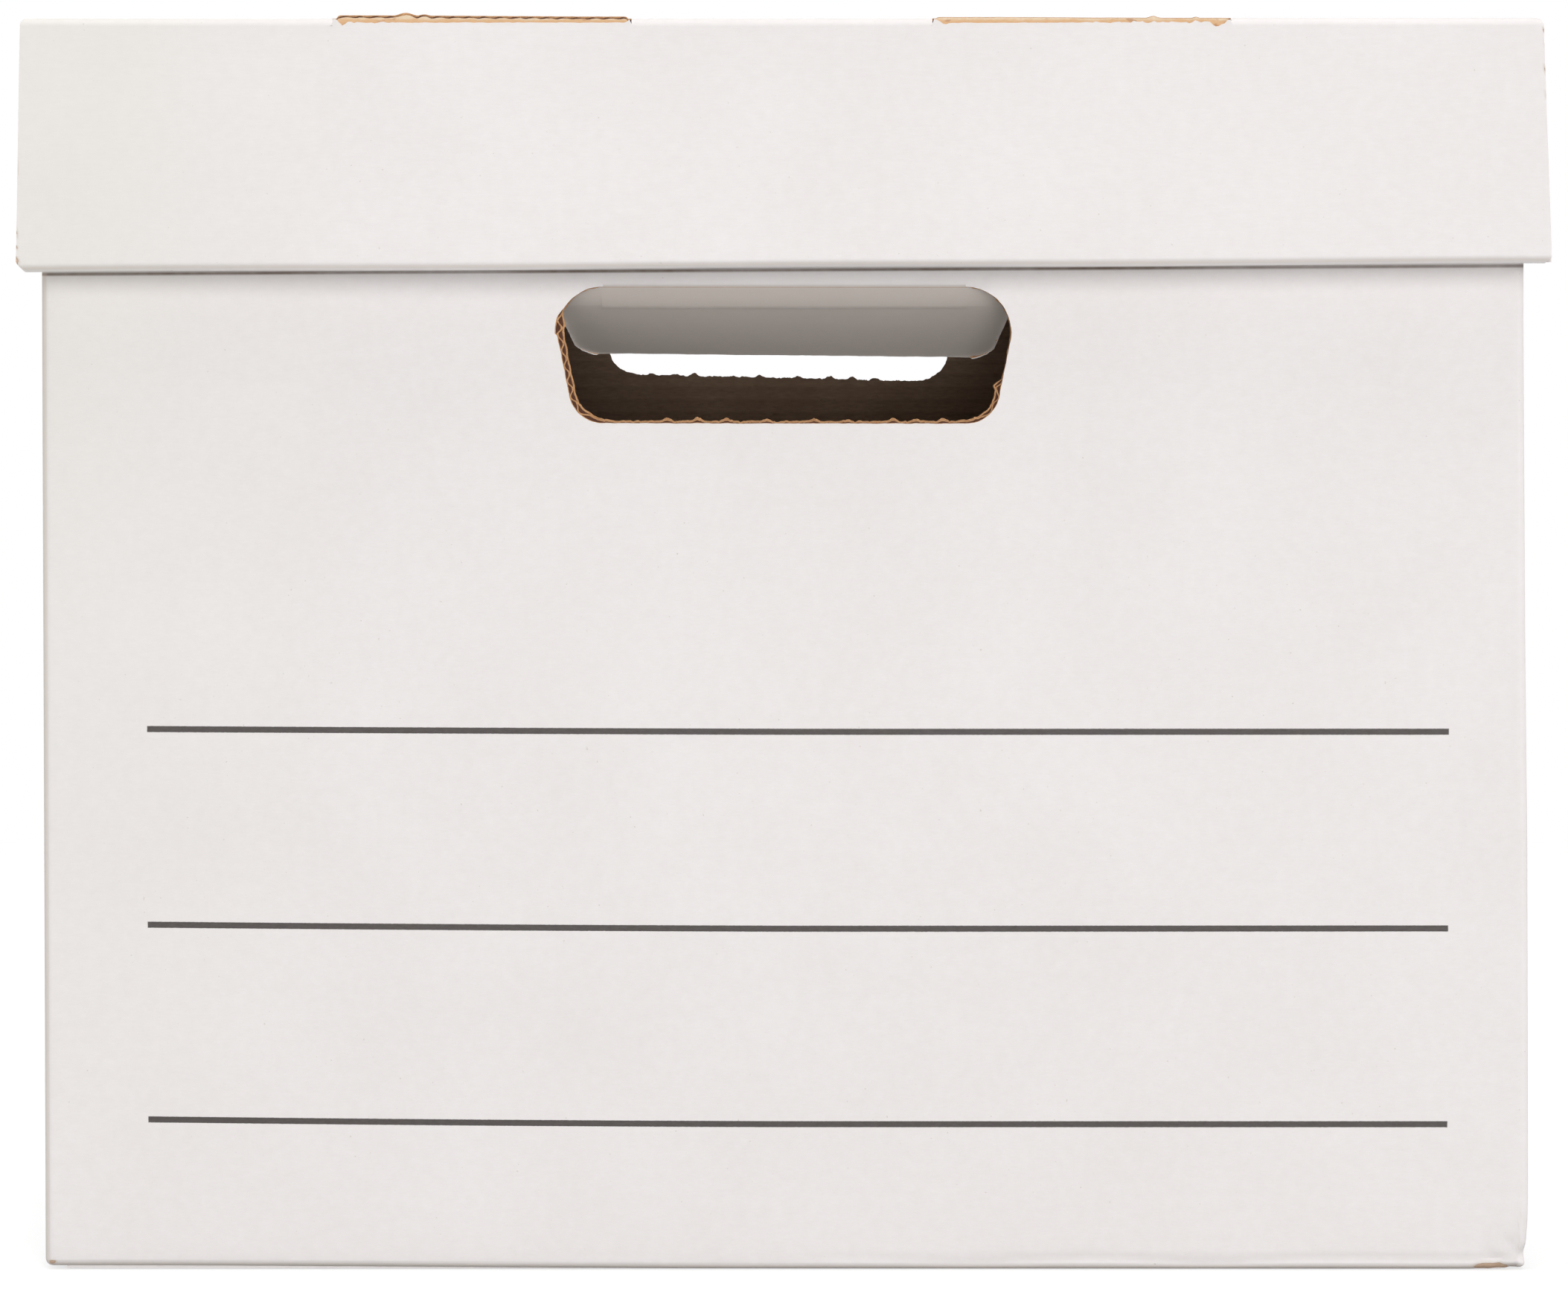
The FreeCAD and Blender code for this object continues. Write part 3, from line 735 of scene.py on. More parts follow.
# Gathering surfaces into a piece.
class Shell:
    """The patches of one piece's surface, in its side's axes, until they are made a mesh."""

    def __init__(self, name: str, side: Side = Side.FRONT, reach: float = 0.0) -> None:
        """Start an empty piece.

        Args:
            name: the piece's name.
            side: the side of the box whose axes its points are given in.
            reach: distance of that side's outer face from the middle.
        """
        self.name, self.side, self.reach = name, side, reach
        self.points: list[Array] = []
        self.quads: list[Array] = []
        self.faces: list[Array] = []
        self.deep: list[Array] = []
        self.count = 0

    def add(self, grid: Array, face: Face | Array, deep: Array | None = None, closed: bool = False) -> None:
        """Add a grid of points as quads between neighbours.

        Args:
            grid: rows by columns of points in millimetres.
            face: which surface of the board it is, or that surface's number for every quad.
            deep: how deep each point lies in a cut edge, from 0 to 1; on a white face, its painted shade.
            closed: whether the last column joins the first.
        """
        rows, columns = grid.shape[:2]
        index = np.arange(rows * columns).reshape(rows, columns) + self.count
        if closed:
            index = np.concatenate([index, index[:, :1]], axis=1)
        corners = [index[:-1, :-1], index[:-1, 1:], index[1:, 1:], index[1:, :-1]]
        quads = np.stack(corners, axis=-1).reshape(-1, 4)
        self.points.append(grid.reshape(-1, 3))
        self.quads.append(quads)
        self.faces.append(np.full(len(quads), face.value) if isinstance(face, Face) else face.ravel())
        self.deep.append(np.zeros(rows * columns) if deep is None else deep.reshape(-1))
        self.count += rows * columns

    def board(
        self,
        front: Array,
        back: Array,
        cuts: dict[Rim, Cut],
        brown: Face | Array = Face.KRAFT,
        grime: float = 0.0,
    ) -> None:
        """Add a panel of board: its white face, its brown face and its four edges.

        Args:
            front: grid of the white face's points.
            back: grid of the brown face's points, matched to the front's.
            cuts: how each edge was cut; an edge that is left out is plain.
            brown: the surface of the brown face, or its number for every quad.
            grime: how much painted shade darkens the white face.
        """
        self.add(front, Face.WHITE, np.full(front.shape[:2], grime))
        self.add(back, brown)
        for rim in Rim:
            cut = cuts.get(rim, PLAIN)
            edge = rim.of(front)
            if cut.inwards is None:
                inwards = unit(rim.next_to(front) - edge)
            else:
                inwards = np.broadcast_to(cut.inwards, edge.shape)
            wall, deep = cut_wall(edge, rim.of(back), inwards, cut)
            face = cut.face
            if not isinstance(face, Face):
                face = np.repeat(face[:, None], wall.shape[1] - 1, axis=1)
            if cut.pale_skin:
                face = np.full((wall.shape[0] - 1, wall.shape[1] - 1), cut.face.value)
                face[:, 0] = Face.WHITE.value
            self.add(wall, face, deep)

    def strip(
        self, low: Array, high: Array | float, rows: int, fold: Warp | float, free: float, behind: float
    ) -> None:
        """Add a strip of board behind a panel, from a fold across to a free edge.

        Args:
            low: heights of its lower edge, at even shares of the way across.
            high: heights of its upper edge.
            rows: how many rows of points it has.
            fold: the fold's place along the side, or a function that gives it at each height.
            free: place of the free edge.
            behind: depth of its white face.
        """
        up = low + (high - low) * np.linspace(0, 1, rows)[:, None]
        start = fold(up) if callable(fold) else fold
        front = points(start + (free - start) * np.linspace(0, 1, len(low)), behind, up)
        cuts = {Rim.LOW: Cut(), Rim.HIGH: Cut(), Rim.RIGHT: Cut(across=up[:, -1])}
        self.board(front, front + (0.0, BOARD.thickness, 0.0), cuts)

    def piece(
        self, finishes: Finishes, warp: Warp | None = None, bare: Warp | None = None
    ) -> bpy.types.Object:
        """Make the mesh and its object.

        Args:
            finishes: the materials of its slots.
            warp: moves points, in millimetres, where handling has bent the board.
            bare: how far the white paper is gone at each point, and how much painted shade
                lies on the front's folds, from 0 to 1.

        Returns:
            The object, at the origin.
        """
        place = self.side.place(np.concatenate(self.points), self.reach)
        quads = np.concatenate(self.quads)
        spots = np.zeros(len(place)) if bare is None else bare(place)
        if warp is not None:
            place = warp(place)
        mesh = bpy.data.meshes.new(self.name)
        mesh.vertices.add(len(place))
        mesh.vertices.foreach_set("co", (place * MM).astype(np.float32).ravel())
        mesh.loops.add(quads.size)
        mesh.loops.foreach_set("vertex_index", quads.astype(np.int32).ravel())
        mesh.polygons.add(len(quads))
        mesh.polygons.foreach_set("loop_start", np.arange(0, quads.size, 4, dtype=np.int32))
        mesh.polygons.foreach_set("material_index", np.concatenate(self.faces).astype(np.int32))
        for name, values in (("deep", np.concatenate(self.deep)), ("bare", spots)):
            layer = mesh.attributes.new(name, "FLOAT", "POINT")
            layer.data.foreach_set("value", values.astype(np.float32))
        mesh.update(calc_edges=True)
        self.weld(mesh)
        for material in finishes.materials:
            mesh.materials.append(material)
        mesh.shade_smooth()
        mesh.set_sharp_from_angle(angle=SHARP_TURN)
        made = bpy.data.objects.new(self.name, mesh)
        bpy.context.scene.collection.objects.link(made)
        LOG.info("%s: %d faces", self.name, len(mesh.polygons))
        return made

    @staticmethod
    def weld(mesh: bpy.types.Mesh) -> None:
        """Join the patches along their shared edges and turn every face outwards."""
        work = bmesh.new()
        work.from_mesh(mesh)
        bmesh.ops.remove_doubles(work, verts=work.verts, dist=WELD)
        bmesh.ops.dissolve_degenerate(work, edges=work.edges, dist=SLIVER)
        bmesh.ops.recalc_face_normals(work, faces=work.faces)
        work.to_mesh(mesh)
        work.free()


def settle(piece: bpy.types.Object, body: str, slot: str, *nodes: str) -> None:
    """Let a piece ride on a body and stand for some solids, which are hidden."""
    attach(piece, body)
    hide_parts(*nodes)


# What handling has done to the board.
@dataclass(frozen=True)
class Handling:
    """Bends that wear has left in the board, as movements of points in millimetres."""

    bulge: float = 1.3
    crush: float = 0.8
    bulge_height: float = 168.0
    sunk: float = 1.0
    sunk_half: float = 43.0
    sunk_above: float = 3.7
    foot_lift: float = 0.62
    corner_reach: float = 11.0
    corner_height: float = 10.0
    sag: float = 0.9
    bow: float = 1.5
    top_lean: float = 0.4
    lean_heights: tuple = (0.0, 4.0, 9.0, 16.0, 45.0, 90.0, 130.0, 200.0, 260.0)
    leans: tuple = (0.5, 0.7, 0.95, 1.05, 0.95, 0.6, 0.0, -0.7, -0.75)

    def sink(self, across: Array | float, up: Array | float) -> Array:
        """How far the face is pressed in over a hand hole's crease.

        It is all of the depth there, times (d / 3.2)^1.3 for the distance d below its upper end.
        """
        ramp = np.clip((BODY.crease + self.sunk_above - up) / 3.2, 0, 1) ** 1.3
        return self.sunk * ramp * under(np.abs(across), self.sunk_half, 5.0)

    def body(self, place: Array) -> Array:
        """Move the body's points.

        Each wall bows out by sine of its height and cosine of its length, below the hand holes. The
        left foot is bent up a little, the right fold wanders, and the lower right front corner is
        pressed in and creased.
        """
        across, back, up = place.T
        moved = place.copy()
        height = np.sin(math.pi * np.clip(up / self.bulge_height, 0, 1)) ** 2
        on_end = over(np.abs(back), BODY.half_depth - 4.0, 1.5)
        on_flank = over(np.abs(across), BODY.half_width - 4.0, 1.5)
        moved[:, 1] += np.sign(back) * self.bulge * arch(across, BODY.half_width) ** 1.5 * height * on_end
        flank = arch(back, BODY.half_depth) ** 1.5 * height * on_flank
        moved[:, 0] += np.sign(across) * self.bulge * 0.8 * flank
        moved[:, 0] += np.interp(up, self.lean_heights, self.leans) * over(across, 30.0, 118.0)
        lift = self.foot_lift * under(across, 3.0, 150.0) * under(up, 230.0, 90.0)
        moved[:, 2] += lift * under(back, -60.0, 120.0)
        outer = np.clip((np.abs(back) - BODY.half_depth) / BOARD.thickness + 1, 0, 1)
        moved[:, 1] -= np.sign(back) * self.sink(across, up) * outer * (up > 190.0)
        self.fold_lip(moved, across, back, up)
        self.press_corner(moved, across, back, up)
        return moved

    @staticmethod
    def fold_lip(moved: Array, across: Array, back: Array, up: Array) -> None:
        """Crease the front's foot: a shallow groove over the bottom fold that wanders to the right."""
        reach = over(across, -20.0, 90.0) * 0.34 + 0.06
        level = 1.9 + 0.35 * np.sin(across / 8.0) + 0.5 * over(across, 110.0, 30.0)
        moved[:, 1] += under(back, 3.0 - BODY.half_depth, 1.0) * reach * bell(up, level, 0.75)

    def press_corner(self, moved: Array, across: Array, back: Array, up: Array) -> None:
        """Press in the lower right front corner, with a faint crease running up from it."""
        sideways = (across - BODY.half_width) / self.corner_reach
        forwards = (back + BODY.half_depth) / self.corner_reach
        away = np.sqrt(sideways**2 + forwards**2 + (up / self.corner_height) ** 2)
        press = self.crush * under(away, 1.15, 1.0)
        fold = np.sin(up * 1.3 + across * 0.8) * 0.3 + np.sin(across * 1.7 - up * 0.9 + 1.0) * 0.26
        moved[:, 0] -= press * (0.35 + fold * 0.5)
        moved[:, 1] += press * (1.1 + fold)
        moved[:, 2] += press * (0.3 + fold * 0.4) * under(up, 9.0, 9.0)
        front = under(back, 4.0 - BODY.half_depth, 1.5)
        tilt = np.clip((across - 146.6 - up * 0.02) / 7.0, 0, 1) * under(up, 46.0, 40.0)
        ridge = bell(across, 149.2, 1.4) * under(up, 16.0, 16.0)
        moved[:, 1] -= (0.45 * tilt + 0.3 * ridge) * front

    def lid(self, place: Array) -> Array:
        """Move the lid's points.

        The top sags a little in the middle and its front edge stands a little high. The lid leans
        to the left as it goes up, and the ends' lower edges waver.
        """
        across, back, up = place.T
        moved = place.copy()
        middle = arch(across, 150.0)
        moved[:, 2] -= self.sag * middle * arch(back, 190.0) * over(up, 257.0, 1.0)
        moved[:, 2] += (0.22 + 0.16 * over(across, -24.0, 120.0)) * over(up, 214.0, 40.0)
        moved[:, 0] -= 0.12 + self.top_lean * over(up, 208.0, 52.0)
        hang = np.clip((LID.under - up) / LID.side_drop, 0, 1) ** 1.5
        end = over(np.abs(back), LID.half_depth - 6.0, 1.5)
        waver = np.sin(across / 37.0 + 0.6) * 0.28 + np.sin(across / 15.0 + 2.0) * 0.07
        moved[:, 1] += (waver + np.sign(back) * self.bow * middle) * hang * end
        moved[:, 2] += np.sin(across / 21.0 + 1.3) * 0.1 * hang * end
        flank = over(np.abs(across), LID.half_width - 4.0, 1.5) * (1 - end)
        moved[:, 0] += np.sin(back / 46.0 + 1.0) * 0.35 * hang * flank
        return moved

    @staticmethod
    def askew(place: Array) -> Array:
        """The rear hand hole, cut a little narrow and askew, from points in its side's axes.

        Below its crease the hole loses up to a twentieth of its width at one side and its floor
        slopes. Far from the hole nothing moves.
        """
        across, up = place[..., 0], place[..., 2]
        near = under(np.abs(across), 78.0, 28.0) * over(up, 140.0, 30.0)
        fall = under(up, BODY.crease, BODY.hole_height) * near
        moved = place.copy()
        moved[..., 0] += fall * (2.7 * under(across, 5.0, 50.0) + 0.7 * over(across, -5.0, 50.0))
        moved[..., 2] += fall * (-0.6 + 0.021 * across)
        return moved

    @staticmethod
    def bare_body(place: Array) -> Array:
        """Where the body's white paper has come off: the crushed corner and specks on the folds. It
        also gives painted shade along the front's foot fold and left fold.
        """
        across, back, up = place.T
        slant = up - 0.5 + (across - 147.0) * 0.1
        tear = np.exp(-(np.abs((across - 147.2) / 3.1) ** 3)) * bell(slant, 0.0, 0.75)
        dots = bell(across, 152.3, 0.22) * under(up, 22.0, 16.0)
        chip = bell(across, -152.6, 0.5) * bell(up, 0.9, 0.4)
        spots = np.clip(np.sin(up * 4.6) * np.sin(up * 1.7 + 1.0) * 1.6 - 0.2, 0, 1)
        # Painted shade along the front's foot fold and left fold.
        fold_shade = 0.3 * np.maximum(under(up, 1.3, 0.8), under(across, -152.7, 0.5))
        shares = np.clip(1.3 * tear + 0.7 * dots * spots + chip + fold_shade, 0, 1)
        return shares * under(back, 3.0 - BODY.half_depth, 1.0)

    @staticmethod
    def bare_lid(place: Array) -> Array:
        """Where the lid's white paper has come off: the lower left corner and spots on its sides. It
        also gives painted shade along the front's lower fold.
        """
        across, back, up = place.T
        corner = bell(across, -158.2, 0.4) * bell(up, 209.8, 0.9)
        lean = LID.half_width + LID.flare * (LID.under - up) / LID.side_drop
        spots = np.clip(np.sin(up * 1.9 + 0.8 * np.sin(up)) * np.sin(up * 0.53 + 1.0) * 1.7 - 0.15, 0, 1)
        low_left = under(across, -100.0, 20.0) * under(up, 240.0, 14.0)
        high_right = over(across, 100.0, 20.0) * over(up, 240.0, 6.0)
        edge = bell(np.abs(across), lean - 0.05, 0.3) * spots * (low_left + 0.8 * high_right)
        # Painted shade along the front's lower fold.
        fold_shade = 0.3 * under(up, LID.low(across) + 1.5, 0.7)
        return np.clip(corner + 1.1 * edge + fold_shade, 0, 1) * under(back, 1.2 - LID.half_depth, 0.6)


HANDLING = Handling()


# The body and its hand flaps.
SIDE_TUFTS = ((1.1, 184.2, 1.5),)
FLOOR_TUFTS = (
    (0.6, -24.3, 1.6),
    (0.8, -18.0, 1.6),
    (0.7, -12.1, 1.6),
    (0.5, -3.6, 1.6),
    (0.6, 6.3, 1.6),
    (0.3, 13.0, 1.6),
    (0.75, 22.5, 1.6),
    (0.5, 27.2, 1.6),
    (0.6, 33.1, 1.6),
)


@dataclass
class BoxBody:
    """The glued sleeve with its double bottom."""

    finishes: Finishes
    plain: Finishes
    notch: float = 3.2
    flap_slot: float = 4.5
    flap_gap: float = 1.0
    flap_taper: float = 6.0
    flap_radius: float = 6.0
    lap_width: float = 35.0
    lap_taper: float = 12.0
    lap_trim: float = 3.0
    lap_clearance: float = 0.02

    @staticmethod
    def torn_band(across: Array, up: Array) -> Array:
        """How far the brown layers reach into the hole past the white paper, round its outline.

        The band is wide down the left side and round the lower corners, and a line of tufts stands
        along the lower edge: the sum of humps at set places.
        """
        left = under(across, -35.0, 6.0) * under(up, 199.8, 3.0)
        low_right = over(across, 35.5, 4.0) * under(up, 184.6, 1.2)
        low = under(up, BODY.hole_floor + 1.2, 0.9) * (1 - over(np.abs(across), 36.0, 3.0))
        tufts = humps(up, SIDE_TUFTS) * over(across, 30.0, 4.0) + humps(across, FLOOR_TUFTS) * low
        return 0.1 + 1.25 * left + 0.85 * low_right + 0.3 * low + tufts

    def edge_wear(self, outline: Array, side: Side) -> tuple[Array, Array]:
        """How the hole's edge is worn, at each point of its outline.

        Returns:
            How far the white paper stops short of the outline, and how far the brown layers reach
            past it into the hole.
        """
        across, up = outline.T
        places = along(outline)
        below = 1 - over(up, BODY.crease - 0.2, 0.3)
        gone = 0.5 * over(up, 194.4, 0.5) * under(up, 200.6, 2.5) * under(across, -40.0, 3.0)
        setback = 0.1 + gone + ragged(places, Seed.HOLE.at(side), 1.3, 0.08)
        floor = under(up, BODY.hole_floor + 1.0, 0.8)
        fine = ragged(places, Seed.HOLE.at(side, 2), 0.35, 0.2) * floor
        reach = self.torn_band(across, up) + ragged(places, Seed.HOLE.at(side, 1), 0.9, 0.16) + fine
        return np.clip(setback, 0.02, None) * below, np.clip(reach, 0.0, None) * below

    def end_panel(self, side: Side) -> bpy.types.Object:
        """An end panel: a ring of points from the hand hole out to the folds, on both faces.

        Rows run from the hole's edge to the panel's, and past it round the folds by a quarter turn;
        the faces are joined by the hole's cut edge, the rim's and the folds' ends.
        """
        wide = BODY.half_width - BOARD.fold
        corners = np.array([[-wide, BODY.rim], [wide, BODY.rim], [wide, BOARD.fold], [-wide, BOARD.fold]])
        runs = BODY.hole(self.notch)
        sides = []
        for place, run in enumerate(runs):
            share = np.linspace(0, 1, len(run))
            if place == 1:
                share = 1 - (1 - share) ** 1.8
            if place == 3:
                share = share**1.8
            sides.append(corners[place] + (corners[(place + 1) % 4] - corners[place]) * share[:, None])
        outline = np.concatenate([run[:-1] for run in runs])
        frame_line = np.concatenate([line[:-1] for line in sides])
        heading = unit(np.roll(outline, -1, axis=0) - np.roll(outline, 1, axis=0))
        into_board = np.stack([-heading[:, 1], heading[:, 0]], axis=-1)
        setback, reach = self.edge_wear(outline, side)
        shape = HANDLING.askew if side is Side.REAR else np.asarray

        def flat(ring: Array, depth: float, share: Array) -> Array:
            """Ring rows from an outline to the panel's frame, at one depth."""
            return shape(self.lifted(ring + (frame_line - ring) * share[:, None, None], depth))

        near_hole = np.linspace(0, 0.66, 18) ** 1.5 / 0.66**0.5
        near_frame = np.array([0.1, 0.074, 0.056, 0.042, 0.031, 0.022, 0.015, 0.009, 0.004, 0.0])
        front_share = np.concatenate([near_hole, 1 - np.linspace(0.3, 0.13, 4), 1 - near_frame])
        front = flat(outline + into_board * setback[:, None], 0.0, front_share)
        back = flat(outline - into_board * reach[:, None], BOARD.thickness, np.linspace(0, 1, 16) ** 1.5)
        shell = Shell(f"{side.word}_end_wall", side, BODY.half_depth)
        shell.add(front, Face.WHITE, closed=True)
        shell.add(back, Face.KRAFT, closed=True)
        ring = np.arange(len(outline) + 1) % len(outline)
        inwards = self.lifted(into_board, 0.0)[ring]
        cut = Cut(across=outline[ring, 1])
        wall, deep = cut_wall(front[0][ring], back[0][ring], inwards, cut, closed=True)
        shell.add(wall, Face.CUT, deep)
        self.folds(shell, *sides)
        return shell.piece(self.finishes, HANDLING.body, HANDLING.bare_body)

    @staticmethod
    def lifted(plane: Array, depth: Array | float) -> Array:
        """Points of the panel's plane, set at a depth behind its outer face."""
        return points(plane[..., 0], depth, plane[..., 1])

    def folds(self, shell: Shell, top: Array, right: Array, low: Array, left: Array) -> None:
        """Add the folds round an end panel's two sides and foot, and its rim.

        Each is the section of a crushed fold, carried along the panel's edge and turned about its
        lower corners.
        """
        turn = np.linspace(0, 1, 7)
        to_right, down, to_left = np.array([[1.0, 0.0], [0.0, -1.0], [-1.0, 0.0]])
        way = np.concatenate(
            [
                np.tile(to_right, (len(right), 1)),
                turned(to_right, down, turn),
                np.tile(down, (len(low), 1)),
                turned(down, to_left, turn),
                np.tile(to_left, (len(left), 1)),
            ]
        )
        about = [np.tile(line[0], (len(turn), 1)) for line in (low, left)]
        base = np.concatenate([right, about[0], low, about[1], left])
        out, back_by = bent(BOARD.fold, 1.45)
        plane = base + way * out[:, None, None]
        outer = self.lifted(plane, back_by[:, None])
        inner = self.lifted(plane, BOARD.thickness)
        shell.add(outer, Face.WHITE)
        shell.add(inner, Face.KRAFT)
        shell.add(np.stack([outer[-1], inner[-1]]), Face.WHITE)
        rim = top[1:-1]
        front = np.concatenate([outer[::-1, -1], self.lifted(rim, 0.0), outer[:, 0]])
        back = np.concatenate([inner[::-1, -1], self.lifted(rim, BOARD.thickness), inner[:, 0]])
        wall, deep = cut_wall(front, back, np.tile([0.0, 0.0, -1.0], (len(front), 1)), Cut())
        shell.add(wall, Face.CUT, deep)

    def side_panel(self, side: Side) -> bpy.types.Object:
        """A side panel: its section, a quarter-round fold and a straight wall, carried along y."""
        fold, board = BOARD.fold, BOARD.thickness
        out, back_by = bent(fold, 1.6)
        up = np.concatenate([board + (fold - out)[::-1], evenly(board + fold, BODY.rim, 5.0)[1:]])
        behind = np.concatenate([back_by[::-1], np.zeros(len(up) - len(out))])
        length = evenly(board - BODY.half_depth, BODY.half_depth - board, 5.0)
        front = points(length, behind[:, None], up[:, None])
        back = points(length, board, up[:, None])
        shell = Shell(f"{side.word}_side_wall", side, BODY.half_width)
        shell.board(front, back, {Rim.HIGH: Cut()})
        return shell.piece(self.plain, HANDLING.body, HANDLING.bare_body)

    def bottom_flap(
        self, side: Side, reach: float, root: float, length: float, height: float
    ) -> bpy.types.Object:
        """A bottom flap: a tapering plate with round free corners.

        Its half width is root - taper v - (r - sqrt(r^2 - w^2)), where w is the stretch that lies
        within the corner's radius r.

        Args:
            side: the side of the box it is folded from.
            reach: distance of that side's outer face from the middle.
            root: half its width at the fold.
            length: how far in its free edge lies.
            height: height of its under face.

        Returns:
            The flap's piece.
        """
        taper, radius, board = self.flap_taper, self.flap_radius, BOARD.thickness
        bend = length - radius
        corner = bend + radius * np.sin(np.linspace(0, 0.5 * math.pi, 14))[1:]
        out = np.concatenate([evenly(board, bend, 0.42), corner])
        within = np.clip(out - bend, 0, radius)
        half = root - taper * (out - board) / (length - board) - (radius - np.sqrt(radius**2 - within**2))
        front = points(half[:, None] * np.linspace(-1, 1, 33), out[:, None], height)
        cuts = {
            Rim.HIGH: Cut(),
            Rim.LEFT: Cut(across=out, inwards=(1.0, 0.0, 0.0)),
            Rim.RIGHT: Cut(across=out, inwards=(-1.0, 0.0, 0.0)),
        }
        shell = Shell(f"{side.word}_bottom_board", side, reach)
        shell.board(front, front + (0.0, 0.0, board), cuts)
        return shell.piece(self.plain)

    def glue_lap(self) -> bpy.types.Object:
        """The glue lap: a strip with slanting ends, inside the rear panel beside the left fold."""
        board = BOARD.thickness
        slant = self.lap_taper * np.linspace(0, 1, 9)
        low, high = 3 * board + self.lap_trim + slant, BODY.rim - self.lap_trim - slant
        start = BODY.half_width - board
        shell = Shell("glue_lap_board", Side.REAR, BODY.half_depth)
        shell.strip(low, high, 560, start, start - self.lap_width, board + self.lap_clearance)
        return shell.piece(self.plain)

    def build(self) -> None:
        """Make every piece of the body and settle it."""
        board, gap = BOARD.thickness, self.flap_gap
        wide, deep = BODY.half_width, BODY.half_depth
        for side in ENDS:
            settle(self.end_panel(side), "box", "body_board", f"{side.word}_end_panel")
            flap = self.bottom_flap(side, deep, wide - self.flap_slot, deep - gap, 0.0)
            settle(flap, "box", "bottom_board", f"bottom_{side.word}_flap")
        for side in FLANKS:
            settle(self.side_panel(side), "box", "body_board", f"{side.word}_side_panel")
            flap = self.bottom_flap(side, wide, deep - board - gap, wide - gap, board)
            settle(flap, "box", "inner_board", f"bottom_{side.word}_flap")
        settle(self.glue_lap(), "box", "inner_board", "glue_lap")


